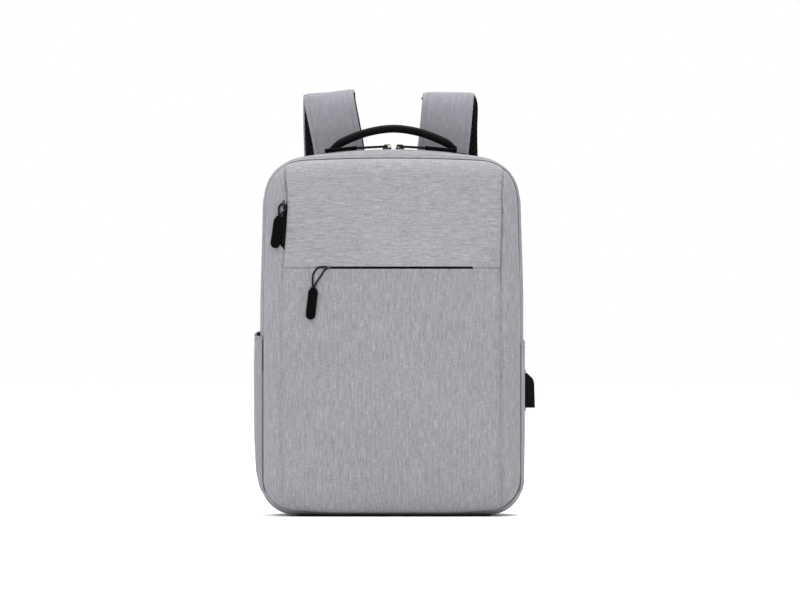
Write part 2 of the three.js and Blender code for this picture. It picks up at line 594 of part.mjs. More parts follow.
// ---- Shoulder straps ----
// Each strap rises from the yoke, bends over and hangs. Both legs lean outwards by their own amount.
const SIDES = [
  { name: "left", side: -1, root: 60, shoulder: 63.5, crest: 74, drop: 74 },
  { name: "right", side: 1, root: 54, shoulder: 57.5, crest: 63.3, drop: 67 },
];
for (const { name, side, root, shoulder, crest, drop } of SIDES) {
  const x = (value) => side * value;
  const half = STRAP.thick / 2;
  const crestZ = STRAP.pivotZ - half;
  const rise = [
    v3(x(root), BACK_Y + 10, 384), v3(x(shoulder - 2), BACK_Y + 10.5, 405), v3(x(shoulder), BACK_Y + 11, 424),
    v3(x(0.55 * shoulder + 0.45 * crest), BACK_Y + 11.5, 449), v3(x(crest - 1), BACK_Y + 16, 473), v3(x(crest), STRAP.pivotY - GAP, crestZ),
  ];
  const back = v3(0, 1, 0);
  const riserSection = () => roundRect(STRAP.width - 1, STRAP.thick, 3);
  add(`strap_riser_${name}`, sweep(curvePoints(rise, 12), riserSection, v3(1, 0, 0), { end: back }), MATERIALS.heather);
  const fall = [
    v3(x(crest), STRAP.pivotY + GAP, crestZ), v3(x(crest + 1), 105, 472), v3(x(crest + 1), 114, 445), v3(x(drop), 118, 400),
    v3(x(drop + 3), 119, 340), v3(x(drop + 10), 117, 280), v3(x(drop + 18), 112, 220), v3(x(drop + 22), 106, STRAP.endZ),
  ];
  const fallRoute = curvePoints(fall, 22);
  const layers = [
    ["cover", half - 3.4, half],
    ["mesh", -half, half - 3.4 - 2 * GAP],
  ];
  for (const [kind, low, high] of layers) {
    const section = (s) => {
      const width = STRAP.width * (s > 0.9 ? 1 - 3.6 * (s - 0.9) : 1);
      return roundRect(width, high - low, 1.2, 1).map((p) => new THREE.Vector2(p.x, -(p.y + (high + low) / 2)));
    };
    const material = kind === "cover" ? MATERIALS.heather : MATERIALS.mesh;
    add(`strap_${kind}_${name}`, sweep(fallRoute, section, v3(1, 0, 0), { start: back }), material);
  }

  // Ladder-lock buckle below the strap's end, held by a loop of webbing.
  const buckleX = x(drop + 22);
  const { width, height, thick, rail, y, z } = BUCKLE;
  const frame = loft([y - thick / 2, y + thick / 2].map((depth) =>
    roundRect(width, height, 3, 2).map((p) => v3(buckleX + p.x, depth, z + p.y))));
  const slotHalf = width / 2 - rail;
  const slots = [[2.2, height / 2 - 3.4], [-height / 2 + 4.4, -1.6]].map(([low, high]) =>
    block(buckleX - slotHalf, buckleX + slotHalf, y - 9, y + 9, z + low, z + high));
  add(`buckle_${name}`, cut(frame, ...slots), MATERIALS.plastic);

  const barZ = z + height / 2 - 1.7;
  const loopRoute = [
    v3(buckleX, y - 3.4, STRAP.endZ - 1.5), v3(buckleX, y - 3.6, barZ + 1), v3(buckleX, y - 3.1, barZ - 2.6),
    v3(buckleX, y, barZ - 4.4), v3(buckleX, y + 3.1, barZ - 2.6), v3(buckleX, y + 3.6, barZ + 1),
    v3(buckleX, y + 3.4, STRAP.endZ - 1.5),
  ];
  add(
    `buckle_loop_${name}`,
    sweep(curvePoints(loopRoute, 14), () => roundRect(WEBBING.width, WEBBING.thick, 0.5, 1)),
    MATERIALS.webbing,
  );

  // Webbing: the tail turns over the middle bar, and the lower length runs to the tab at the bottom corner.
  const bar = z + 0.3;
  const tailRoute = [
    v3(buckleX, y - 3.7, z - 24), v3(buckleX, y - 3.8, bar - 3), v3(buckleX, y - 3.2, bar + 3.4),
    v3(buckleX, y, bar + 5.4), v3(buckleX, y + 3.2, bar + 3.4), v3(buckleX, y + 3.8, bar - 3),
    v3(buckleX, y + 3.8, z - 24), v3(buckleX, y + 5, z - 90),
  ];
  add(
    `webbing_tail_${name}`,
    sweep(curvePoints(tailRoute, 26), () => roundRect(WEBBING.width, WEBBING.thick, 0.5, 1)),
    MATERIALS.webbing,
  );
  const lowerRoute = [
    v3(buckleX, y - 3.9, z - 24.4), v3(x(drop + 26), y - 3, 100), v3(x(drop + 34), y - 4, 78),
    v3(x(118), 90, 58), v3(x(124), 78, 48), v3(x(127), BACK_Y + 9, 44),
  ];
  add(
    `webbing_lower_${name}`,
    sweep(curvePoints(lowerRoute, 18), () => roundRect(WEBBING.width, WEBBING.thick, 0.5, 1), v3(1, 0, 0), {
      start: v3(0, 0, -1),
      end: v3(0, -1, 0),
    }),
    MATERIALS.webbing,
  );
  // Triangular tab sewn into the back seam, which holds the webbing's end.
  const tabCorners = [[112, 34], [138, 60], [140, 44], [128, 30]];
  const tabOut = [[118, 40], [130, 52], [136, 46], [124, 34]];
  add(
    `webbing_tab_${name}`,
    loft([
      tabCorners.map(([tx, tz]) => v3(x(tx), BACK_Y + 0.6, tz)),
      tabOut.map(([tx, tz]) => v3(x(tx), BACK_Y + 8.6, tz)),
    ]),
    MATERIALS.heather,
  );
}

export default backpack;
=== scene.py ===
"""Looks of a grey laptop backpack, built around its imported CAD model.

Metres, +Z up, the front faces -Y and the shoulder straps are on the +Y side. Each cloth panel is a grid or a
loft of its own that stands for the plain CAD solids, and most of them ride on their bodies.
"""

import math

import bmesh
import bpy
import numpy as np
from mathutils import Matrix, Vector, noise


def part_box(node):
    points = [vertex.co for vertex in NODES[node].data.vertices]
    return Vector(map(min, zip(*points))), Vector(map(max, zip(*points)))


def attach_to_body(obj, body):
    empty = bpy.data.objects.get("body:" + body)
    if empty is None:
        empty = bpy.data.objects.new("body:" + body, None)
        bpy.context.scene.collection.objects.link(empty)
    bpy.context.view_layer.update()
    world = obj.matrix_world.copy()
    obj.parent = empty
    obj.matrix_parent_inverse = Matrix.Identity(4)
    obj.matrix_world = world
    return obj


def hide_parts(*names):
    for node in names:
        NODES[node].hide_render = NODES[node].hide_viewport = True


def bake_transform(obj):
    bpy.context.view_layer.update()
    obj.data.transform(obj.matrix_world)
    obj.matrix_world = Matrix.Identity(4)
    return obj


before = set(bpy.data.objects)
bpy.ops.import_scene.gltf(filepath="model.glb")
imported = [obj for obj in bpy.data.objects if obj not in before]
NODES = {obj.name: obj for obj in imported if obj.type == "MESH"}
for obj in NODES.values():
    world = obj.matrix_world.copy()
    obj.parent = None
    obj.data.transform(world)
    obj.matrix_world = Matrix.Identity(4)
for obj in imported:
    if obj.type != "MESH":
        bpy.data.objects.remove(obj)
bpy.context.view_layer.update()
MM = 0.001

# ---- Driving dimensions ----
# The two outlines of the body seen from the front, at the main zip and at the front panel's seam.
BODY = dict(half=0.150, bottom=0.0018, top=0.418, top_corner=0.057, bottom_corner=0.038, crown=0.640)
SEAM = dict(half=0.146, bottom=0.007, top=0.4076, top_corner=0.048, bottom_corner=0.036, crown=2.000)
FRONT_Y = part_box("front_panel_upper")[0].y
BACK_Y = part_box("rear_shell")[1].y
REAR_EDGE_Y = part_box("rear_shell")[0].y
ZIP_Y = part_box("main_zip_rear_tape")[0].y
FRONT_EDGE_Y = 2 * ZIP_Y - REAR_EDGE_Y
SEAM_Y = -0.044
BACK_BEND_Y = 0.050
FOLD_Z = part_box("main_zip_rear_tape")[0].z
# How the stuffed body leans, narrows below its shoulders and sags to the ground.
LEAN_X = -1.9 * MM
SLIM = dict(most=0.0205, start=0.25, rise=0.115, end=0.366, fall=0.028)
SAG = dict(most=0.48, half=0.135, fade=0.075, top=0.055, reach=0.045)
# The front: its creases' distances from the middle below and above, its pockets and its seams.
CREASES = {-1: (0.1240, 0.1210), 1: (0.1237, 0.1270)}
CREASE_STITCHES = {-1: (0.012, 0.150), 1: (0.012, 0.398)}
POCKET_SEAM_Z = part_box("front_pocket_zip")[0].z + 0.0012
SLIT = dict(left=-0.0712, right=0.0922, half=0.0013, depth=0.0045)
OPENING = dict(top=0.356, bottom=0.303, wide=0.0068, depth=0.0042)
WING_COLUMNS = 5
EDGE_ROLL = 0.021
GUSSET_WIDTH = 0.021
# The main zip: each tape's edge at the teeth, its far edge, and the way that its teeth reach.
ZIP_TAPES = (
    ("rear", ZIP_Y - 0.0005, REAR_EDGE_Y + 0.0016, -1),
    ("front", ZIP_Y - 0.0003, FRONT_EDGE_Y + 0.0003, 1),
)
TAPE_BELOW_FOLD = 0.007
PIPING = dict(radius=1.3 * MM, lowest=2.6 * MM)
# The bottle pockets. Each sag is (height in metres, how far the cloth stands out in mm).
POCKET_FRONT, POCKET_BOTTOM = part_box("bottle_pocket_left")[0].yz
POCKET_BACK, POCKET_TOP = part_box("bottle_pocket_left")[1].yz
HEM = 0.0022
EDGE_LIFT = 1.0 * MM
POCKET = dict(cloth=1.5 * MM, facing=0.8 * MM, rim=1.3 * MM)
LEFT_SAG = [
    (0.028, 0.8), (0.036, 2.2), (0.042, 3.6), (0.050, 5.4), (0.060, 6.2), (0.087, 7.2), (0.110, 7.4),
    (0.150, 7.8), (0.172, 7.9), (0.190, 7.4), (0.206, 7.2),
]
RIGHT_SAG = [(0.028, 0.6), (0.045, 1.3), (0.060, 1.7), (0.110, 1.9), (0.206, 1.9)]
# The handle: width and thickness in mm at its ends and in its grip, and its route as (x, z) in mm from the
# right end to the middle.
HANDLE_Y = 0.028
HANDLE_ENDS = np.array([5.5, 5.4])
HANDLE_GRIP = np.array([20.5, 9.3])
HANDLE_ROUTE = [(72, 419), (65, 424), (53, 430.3), (28, 439.2), (0, 443)]
PATCH = dict(near=0.0665, far=0.084, width=0.022, sewn=0.0085)
# The pullers, in mm: the eye's height over the cloth, the gap between a cord loop's end and its grip, the
# grip's length and half widths, and the route of the front pocket's cord.
EYE = 3.3
LOOP_GAP = 1.3
GRIP_SHAPE = dict(length=37.0, half=5.5, neck=2.2, tip=4.2)
SIDEWAYS_LOOP = [
    (0, 0), (0.9, -0.7), (4, -1.0), (8, -0.7), (11.3, 0.6), (14.4, 4.2), (16.5, 9), (16.8, 14.5),
    (16.3, 20.9), (15.0, 21.1), (11.6, 15.4), (7.2, 9.2), (4.2, 4.2), (1.6, 1.7), (0.2, 1.0),
]
PULLER_BODIES = dict(
    main_left=("main_puller_left", "main_slider_left"),
    main_right=("main_puller_right", "main_slider_right"),
    front_pocket=("front_puller", "front_slider"),
    side_pocket=("side_puller", "side_slider"),
)
# The shoulder straps: distances from the middle of the bag along each one, and angles in degrees.
STRAP = dict(width=0.060, thick=0.012, pivot_y=0.088, pivot_z=0.487, end_z=0.172)
SIDES = dict(
    left=dict(
        side=-1, root=0.060, shoulder=0.0635, crest=0.074, drop=0.074,
        slope=3.2, riser_roll=-17.0, edge=0.0034, riser_edge=-0.0004,
    ),
    right=dict(
        side=1, root=0.054, shoulder=0.0575, crest=0.0633, drop=0.067,
        slope=0.0, riser_roll=3.0, edge=-0.0024, riser_edge=0.003,
    ),
)
BUCKLE_Y = 0.105
BUCKLE_Z = 0.146
# Half of the luggage band's route, (x, y) in mm.
BAND_ROUTE = [(136, 61.6), (128, 64), (116, 77), (100, 81.5), (60, 81.5)]
BAND_WIDTH = 0.060
DIVIDER_CORNERS = dict(lower=0.034, upper=0.014)
# Cloth, thread and the cloth simulation of the back pads.
CLOTH = 1.4 * MM
STITCH = dict(pitch=3.2 * MM, long=2.3 * MM, wide=0.55 * MM, sink=0.1 * MM)
HALF_ROUND = ((1, 0), (0.5, 0.8), (-0.5, 0.8), (-1, 0))
SWELL = dict(voxel=0.005, pressure=4.0, frames=20, cap=0.006)
WRINKLE = dict(size=0.05, cut=0.012)
MERGE = 1e-6
# The stage.
WORLD_LIGHT = 1.0
LAMPS = [
    ("key", (-1.8, -2.6, 2.6), 2.2, 45),
    ("top", (0.1, -0.2, 3.0), 2.6, 110),
    ("back", (0.3, 2.4, 2.2), 2.0, 30),
]
LAMPS_AIM = Vector((0, 0, 0.22))
LENS = 300
SENSOR = 36
WIDTH_SHOWN = 0.908
CAMERA_X = 0.0074
CAMERA_Z = 0.2463
UP = Vector((0, 0, 1))
RIGHT = Vector((1, 0, 0))
BACKWARDS = Vector((0, 1, 0))
OBLIQUE = Vector((0.31, 0.27, 0.91))
LEFT_RIGHT = (("left", -1), ("right", 1))


# ---- Materials ----
class Nodes:
    """A material's nodes, with short ways to add the ones that the cloths and plastics share."""

    def __init__(self, name, color, roughness, metallic=0.0, specular=0.5):
        self.material = bpy.data.materials.new(name)
        self.material.use_nodes = True
        self.tree = self.material.node_tree
        self.shader = self.tree.nodes["Principled BSDF"]
        self.shader.inputs["Base Color"].default_value = (*color, 1)
        self.shader.inputs["Roughness"].default_value = roughness
        self.shader.inputs["Metallic"].default_value = metallic
        self.shader.inputs["Specular IOR Level"].default_value = specular

    def node(self, kind, **settings):
        made = self.tree.nodes.new(kind)
        for key, value in settings.items():
            setattr(made, key, value)
        return made

    def link(self, output, target):
        self.tree.links.new(output, target)

    def coordinates(self, scale, source="UV"):
        """Texture coordinates in metres times scale, from the UV map or from the piece's own space."""
        place = self.node("ShaderNodeTexCoord").outputs[source]
        mapping = self.node("ShaderNodeMapping")
        mapping.inputs["Scale"].default_value = scale
        self.link(place, mapping.inputs["Vector"])
        return mapping.outputs["Vector"]

    def noise(self, scale, source="UV", detail=2.0, roughness=0.5):
        made = self.node("ShaderNodeTexNoise")
        made.inputs["Scale"].default_value = 1.0
        made.inputs["Detail"].default_value = detail
        made.inputs["Roughness"].default_value = roughness
        self.link(self.coordinates(scale, source), made.inputs["Vector"])
        return made.outputs["Fac"]

    def grain(self, size, detail=2.0):
        """Noise as fine in every direction of the piece's own space."""
        return self.noise((size, size, size), "Object", detail)

    def waves(self, scale, direction, source="UV"):
        made = self.node("ShaderNodeTexWave", wave_type="BANDS", bands_direction=direction)
        made.inputs["Scale"].default_value = 1.0
        self.link(self.coordinates(scale, source), made.inputs["Vector"])
        return made.outputs["Fac"]

    def cells(self, size):
        made = self.node("ShaderNodeTexVoronoi", feature="F1")
        made.inputs["Scale"].default_value = 1.0
        self.link(self.coordinates((size, size, size), "Object"), made.inputs["Vector"])
        return made.outputs["Distance"]

    def math(self, operation, a, b):
        made = self.node("ShaderNodeMath", operation=operation)
        for socket, value in zip(made.inputs, (a, b)):
            if isinstance(value, (int, float)):
                socket.default_value = value
            else:
                self.link(value, socket)
        return made.outputs[0]

    def ramp(self, factor, stops):
        made = self.node("ShaderNodeValToRGB")
        elements = made.color_ramp.elements
        while len(elements) < len(stops):
            elements.new(0.5)
        for element, (position, color) in zip(elements, stops):
            element.position = position
            element.color = (*color, 1)
        self.link(factor, made.inputs["Fac"])
        return made.outputs["Color"]

    def color(self, factor, stops):
        self.link(self.ramp(factor, stops), self.shader.inputs["Base Color"])

    def mottled(self, factor, low, high, blue=1.07):
        """Uneven colour between two greys."""
        self.color(factor, [(0.3, gray(low, blue)), (0.7, gray(high, blue))])

    def bump(self, *layers):
        """Stacks (height, strength, distance) layers."""
        normal = None
        for height, strength, distance in layers:
            made = self.node("ShaderNodeBump")
            made.inputs["Strength"].default_value = strength
            made.inputs["Distance"].default_value = distance
            self.link(height, made.inputs["Height"])
            if normal is not None:
                self.link(normal, made.inputs["Normal"])
            normal = made.outputs["Normal"]
        self.link(normal, self.shader.inputs["Normal"])

    def rough(self, factor, low, high):
        made = self.node("ShaderNodeMapRange")
        made.inputs["To Min"].default_value = low
        made.inputs["To Max"].default_value = high
        self.link(factor, made.inputs["Value"])
        self.link(made.outputs["Result"], self.shader.inputs["Roughness"])

    def sheen(self, weight, roughness):
        self.shader.inputs["Sheen Weight"].default_value = weight
        self.shader.inputs["Sheen Roughness"].default_value = roughness
        self.shader.inputs["Sheen Tint"].default_value = (1, 1, 1, 1)


def gray(value, blue=1.07):
    """A slightly bluish grey."""
    return (value, value * 0.985, value * blue)


def heather_cloth(name, level, blue=1.07, contrast=1.0):
    """Two-tone yarns: long thin light and dark streaks along v, on a fine plain weave."""
    m = Nodes(name, gray(0.25), 0.9, specular=0.2)
    fine = m.noise((1000, 90, 1), detail=3.0, roughness=0.62)
    slubs = m.noise((400, 30, 1), detail=2.0, roughness=0.5)
    weft = m.noise((130, 1000, 1), detail=2.0)
    patches = m.noise((9, 9, 9), detail=2.0)
    streaks = m.math("ADD", m.math("MULTIPLY", fine, 0.50), m.math("MULTIPLY", slubs, 0.20))
    cross = m.math("ADD", m.math("MULTIPLY", weft, 0.24), m.math("MULTIPLY", patches, 0.06))
    total = m.math("ADD", streaks, cross)
    middle = 0.214
    stops = [(0.30, 0.52), (0.43, 0.81), (0.52, 1.0), (0.60, 1.20), (0.72, 1.64)]
    m.color(total, [(place, gray(level * middle * share**contrast, blue)) for place, share in stops])
    weave = m.math("MULTIPLY", m.waves((340, 0, 0), "X"), m.waves((0, 340, 0), "Y"))
    m.bump((fine, 0.25, 0.0004), (weave, 0.35, 0.00015))
    m.sheen(0.05, 0.4)
    return m.material


def lining_cloth():
    """Thin dark cloth of the inside."""
    m = Nodes("lining_cloth", gray(0.03), 0.8, specular=0.15)
    m.mottled(m.grain(500), 0.018, 0.042)
    m.bump((m.waves((260, 260, 260), "DIAGONAL", "Object"), 0.3, 0.0002))
    m.sheen(0.05, 0.4)
    return m.material


def air_mesh(name, value):
    """Spacer mesh: round holes in staggered rows on a thick knit."""
    m = Nodes(name, gray(value), 0.9, specular=0.04)
    across = m.waves((92, 0, 92), "DIAGONAL", "Object")
    other = m.waves((92, 0, -92), "DIAGONAL", "Object")
    holes = m.math("MULTIPLY", across, other)
    uneven = m.grain(60)
    deep = m.math("ADD", m.math("MULTIPLY", holes, 0.8), m.math("MULTIPLY", uneven, 0.2))
    total = m.math("SUBTRACT", 1.0, deep)
    # The holes are coloured darker than the knit: painted shade inside them.
    m.color(total, [(0.25, gray(0.2 * value)), (0.45, gray(0.8 * value)), (0.85, gray(1.5 * value))])
    m.bump((total, 0.8, 0.0010), (m.grain(900), 0.2, 0.0002))
    m.sheen(0.01, 0.5)
    return m.material


def webbing_cloth():
    """Black ribbed webbing: ribs along v, with herringbone picks across."""
    m = Nodes("webbing_cloth", gray(0.008), 0.75, specular=0.15)
    ribs = m.waves((420, 0, 0), "X")
    picks = m.waves((160, 330, 0), "DIAGONAL")
    m.mottled(m.noise((300, 60, 1)), 0.005, 0.014)
    m.bump((ribs, 0.7, 0.0005), (picks, 0.4, 0.0002))
    m.sheen(0.03, 0.4)
    return m.material


def twisted_cord():
    """Black cord with slanting strands."""
    m = Nodes("twisted_cord", gray(0.004), 0.7, specular=0.06)
    m.bump((m.waves((160, 480, 0), "DIAGONAL"), 0.9, 0.0006), (m.noise((1500, 1500, 1)), 0.3, 0.0002))
    m.mottled(m.noise((600, 600, 1)), 0.003, 0.009)
    m.sheen(0.02, 0.4)
    return m.material


def rubber(name, value, roughness, grain):
    """Matt rubber, unevenly worn, with a pebbled grain."""
    m = Nodes(name, gray(value, 1.12), roughness, specular=0.03)
    worn = m.grain(60, 3.0)
    m.rough(worn, roughness - 0.1, roughness + 0.12)
    m.mottled(worn, value * 0.8, value * 1.35, 1.12)
    m.bump((m.cells(grain), 0.25, 0.0002))
    return m.material


def zip_tape():
    """Fine black tape of the zips."""
    m = Nodes("zip_tape", gray(0.004), 0.7, specular=0.08)
    m.mottled(m.grain(400), 0.002, 0.006)
    m.bump((m.waves((0, 700, 0), "Y"), 0.4, 0.0002))
    m.sheen(0.01, 0.4)
    return m.material


def plastic(name, color, roughness):
    """Moulded plastic, finely spotted."""
    m = Nodes(name, color, roughness, specular=0.25)
    spots = m.grain(700, 4.0)
    m.rough(spots, roughness - 0.08, roughness + 0.1)
    m.bump((spots, 0.12, 0.0001))
    return m.material


def metal(name, color, roughness, metallic):
    """Bare or painted metal, lightly scuffed."""
    m = Nodes(name, color, roughness, metallic)
    scuffs = m.noise((900, 120, 900), "Object", detail=4.0)
    m.rough(scuffs, roughness - 0.08, roughness + 0.14)
    m.bump((scuffs, 0.1, 0.0001))
    return m.material


def coated_cloth():
    """Hard-wearing cloth of the base, with a small diamond grid."""
    m = Nodes("coated_cloth", gray(0.02), 0.6)
    across = m.waves((90, 90, 0), "DIAGONAL", "Object")
    other = m.waves((90, -90, 0), "DIAGONAL", "Object")
    m.mottled(m.grain(150), 0.014, 0.030)
    fine = m.grain(900)
    m.bump((m.math("MULTIPLY", across, other), 0.5, 0.0004), (fine, 0.2, 0.0001))
    return m.material


def thread(name, value):
    """Sewing thread."""
    m = Nodes(name, gray(value), 0.75, specular=0.12)
    m.bump((m.grain(2500), 0.4, 0.0002))
    m.sheen(0.03, 0.4)
    return m.material


HEATHER = heather_cloth("heather_cloth", 0.98)
# A lighter copy of the heather for the upper front panel: painted light.
HEATHER_UPPER_PAINTED_LIGHT = heather_cloth("heather_cloth_upper_painted_light", 1.07)
HEATHER_STRAP = heather_cloth("heather_cloth_strap", 0.93, blue=1.095, contrast=0.6)
# A darker copy of the heather for the bottle pockets: painted shade on the bag's sides.
HEATHER_POCKET_PAINTED_SHADE = heather_cloth("heather_cloth_pocket_painted_shade", 0.885, blue=1.085)
LINING = lining_cloth()
# The darkest copy of the black air mesh, for the straps' undersides: partly painted shade of the gap under
# each strap.
STRAP_MESH_PAINTED_SHADE = air_mesh("strap_mesh", 0.006)
PAD_MESH = air_mesh("pad_mesh", 0.026)
BACK_MESH = air_mesh("back_mesh", 0.010)
WEBBING = webbing_cloth()
CORD = twisted_cord()
GRIP = rubber("grip_rubber", 0.0012, 0.6, 900)
HANDLE = rubber("handle_rubber", 0.0040, 0.55, 620)
PORT = rubber("port_rubber", 0.0065, 0.6, 1100)
ZIP = zip_tape()
TEETH = plastic("zip_teeth", gray(0.005), 0.4)
BUCKLE = plastic("buckle_plastic", gray(0.007), 0.42)
BOARD = plastic("stiffener_board", (0.68, 0.67, 0.62), 0.5)
TONGUE = plastic("socket_plastic", gray(0.02), 0.4)
STEEL = metal("socket_steel", (0.62, 0.62, 0.64), 0.28, 1.0)
SLIDER = metal("slider_paint", gray(0.006), 0.38, 0.0)
BASE = coated_cloth()
GRAY_THREAD = thread("gray_thread", 0.21)
BLACK_THREAD = thread("black_thread", 0.006)
# Painted shade: a dark grey for the tube that stands for the shade in the front panel's seam.
SEAM_SHADE = thread("seam_shade", 0.05)


# ---- Mesh helpers ----
def linked(name, mesh):
    """An object of its own for a mesh, in the scene."""
    made = bpy.data.objects.new(name, mesh)
    bpy.context.scene.collection.objects.link(made)
    return made


def add_mesh(name, verts, faces, material, uvs=None):
    """A smooth mesh object. uvs holds one (u, v) for each corner of each face, in the faces' order."""
    mesh = bpy.data.meshes.new(name)
    mesh.from_pydata([tuple(v) for v in verts], [], faces)
    if uvs is not None:
        layer = mesh.uv_layers.new(name="UVMap")
        layer.data.foreach_set("uv", np.asarray(uvs, np.float32).ravel())
    mesh.materials.append(material)
    made = linked(name, mesh)
    smooth_shading(made)
    mesh.update()
    return made


def from_bmesh(name, bm, material):
    """An object of one material from a bmesh, which is then freed."""
    mesh = bpy.data.meshes.new(name)
    bm.to_mesh(mesh)
    bm.free()
    mesh.materials.clear()
    mesh.materials.append(material)
    return linked(name, mesh)


def smooth_shading(piece):
    piece.data.polygons.foreach_set("use_smooth", [True] * len(piece.data.polygons))


def coordinates(piece):
    """The piece's vertices, one row each."""
    flat = np.empty(len(piece.data.vertices) * 3, np.float32)
    piece.data.vertices.foreach_get("co", flat)
    return flat.reshape(-1, 3)


def set_coordinates(piece, points):
    """Moves the piece's vertices to these points."""
    piece.data.vertices.foreach_set("co", np.asarray(points, np.float32).ravel())
    piece.data.update()


def cleaned(piece, merge=False):
    """Turns a closed mesh's faces outwards. merge also joins its doubled vertices."""
    bm = bmesh.new()
    bm.from_mesh(piece.data)
    if merge:
        bmesh.ops.remove_doubles(bm, verts=bm.verts, dist=MERGE)
    bmesh.ops.recalc_face_normals(bm, faces=bm.faces)
    bm.to_mesh(piece.data)
    bm.free()
    return piece


def lengths(points):
    """Distance along a row of points, from 0."""
    steps = np.linalg.norm(np.diff(points, axis=0), axis=1)
    return np.concatenate([[0.0], np.cumsum(steps)])


def unit(vector):
    return vector / np.linalg.norm(vector)


def wrapped(rings):
    """Rings of points with each one's first point again at its end."""
    return np.concatenate([rings, rings[:, :1]], axis=1)


def eased(count):
    """Shares from 0 to 1, close together at both ends."""
    return 0.5 * (1 - np.cos(np.linspace(0, math.pi, count)))


def hump(distance, width):
    """A bell-shaped bump of height 1."""
    return math.exp(-((distance / width) ** 2))


def grid(name, points, material, wrap=False, caps=False, uv=None, inside=None, keep=None):
    """A grid of points [row][column]. wrap joins the last column to the first, caps closes both end rows.

    u runs along the columns and v along the rows, in metres, unless uv gives them. Faces turn away from the
    point inside. keep(row, column) says which faces are made.
    """
    points = np.asarray(points, float)
    rows, columns = points.shape[:2]
    across = columns if wrap else columns - 1
    if uv is None:
        middle = lengths((wrapped(points) if wrap else points)[rows // 2])
        uv = np.stack(np.meshgrid(middle, lengths(points[:, columns // 2])), axis=-1)
    faces, uvs = [], []
    for i, j in np.ndindex(rows - 1, across):
        if keep is not None and not keep(i, j):
            continue
        k = (j + 1) % columns
        faces.append((i * columns + j, i * columns + k, (i + 1) * columns + k, (i + 1) * columns + j))
        uvs += [uv[i][j], uv[i][j + 1], uv[i + 1][j + 1], uv[i + 1][j]]
    if caps:
        for row, way in ((0, -1), (rows - 1, 1)):
            faces.append(tuple(range(row * columns, (row + 1) * columns))[::way])
            uvs += list(uv[row][:columns])
    made = add_mesh(name, points.reshape(-1, 3), faces, material, uvs)
    if inside is not None:
        turn_out(made, inside)
    return made


def turn_out(piece, inside):
    """Flips the faces if most of them look towards the point inside."""
    centre = Vector(inside)
    score = sum(p.normal.dot(p.center - centre) * p.area for p in piece.data.polygons)
    if score < 0:
        piece.data.flip_normals()


def modify(piece, kind, **settings):
    made = piece.modifiers.new(kind.lower(), kind)
    for key, value in settings.items():
        setattr(made, key, value)
    return made


def apply_modifiers(piece):
    """Bakes the modifiers into the mesh."""
    bpy.context.view_layer.update()
    graph = bpy.context.evaluated_depsgraph_get()
    baked = bpy.data.meshes.new_from_object(piece.evaluated_get(graph))
    piece.modifiers.clear()
    piece.data = baked
    return piece


def thicken(piece, amount=CLOTH):
    """Gives a sheet its thickness, inwards."""
    modify(piece, "SOLIDIFY", thickness=amount, offset=-1, use_rim=True)
    return apply_modifiers(piece)


def arc(cx, cy, radius, start, end, count):
    """count + 1 points of an arc, angles in degrees."""
    angles = np.radians(np.linspace(start, end, count + 1))
    return np.stack([cx + radius * np.cos(angles), cy + radius * np.sin(angles)], axis=1)


def corner_centres(spec, inset=0.0):
    """The middle of the top corner, its radius, and the angle that the crown takes, for one outline."""
    half = spec["half"] - inset
    high = max(spec["top_corner"] - inset, 0.004)
    crown = spec["crown"] - inset
    cx = half - high
    cz = spec["top"] - inset - crown + math.sqrt((crown - high) ** 2 - cx**2)
    turn = math.degrees(math.asin(cx / (crown - high)))
    return cx, cz, high, crown, turn


def outline(spec, inset=0.0, step=0.004):
    """The closed outline as (x, z) points: right corner of the base first, then up, over and down."""
    half = spec["half"] - inset
    bottom = spec["bottom"] + inset
    low = max(spec["bottom_corner"] - inset, 0.004)
    cx, cz, high, crown, turn = corner_centres(spec, inset)
    top = spec["top"] - inset
    side = max(int(0.32 / step), 8)
    base = max(int(0.22 / step), 8)
    over = max(int(0.22 / step), 8)
    bend = max(int(0.08 / step), 6)
    pieces = [
        arc(half - low, bottom + low, low, -90, 0, bend),
        np.linspace((half, bottom + low), (half, cz), side + 1)[1:-1],
        arc(cx, cz, high, 0, 90 - turn, bend),
        arc(0, top - crown, crown, 90 - turn, 90 + turn, over)[1:-1],
        arc(-cx, cz, high, 90 + turn, 180, bend),
        np.linspace((-half, cz), (-half, bottom + low), side + 1)[1:-1],
        arc(low - half, bottom + low, low, 180, 270, bend),
        np.linspace((low - half, bottom), (half - low, bottom), base + 1)[1:-1],
    ]
    return np.concatenate(pieces)


def ring(spec, inset, y):
    """The outline as points at depth y."""
    flat = outline(spec, inset)
    return np.stack([flat[:, 0], np.full(len(flat), y), flat[:, 1]], axis=1)


def depth_inside(spec, x, z):
    """How far (x, z) lies inside the outline."""
    cx, cz, high, crown, _ = corner_centres(spec)
    low = spec["bottom_corner"]
    px = abs(x)
    if px > cx and z > cz:
        return high - math.hypot(px - cx, z - cz)
    if px > spec["half"] - low and z < spec["bottom"] + low:
        return low - math.hypot(px - spec["half"] + low, z - spec["bottom"] - low)
    over = crown - math.hypot(x, z - spec["top"] + crown)
    return min(spec["half"] - px, over, z - spec["bottom"])


def edge_heights(spec, x):
    """Lowest and highest z of the outline at x."""
    cx, cz, high, crown, turn = corner_centres(spec)
    low = spec["bottom_corner"]
    px = min(abs(x), spec["half"])
    beyond = max(px - spec["half"] + low, 0)
    bottom = spec["bottom"] + low - math.sqrt(max(low**2 - beyond**2, 0))
    if px <= cx + high * math.sin(math.radians(turn)):
        top = spec["top"] - crown + math.sqrt(crown**2 - px**2)
    else:
        top = cz + math.sqrt(max(high**2 - (px - cx) ** 2, 0))
    return bottom, top


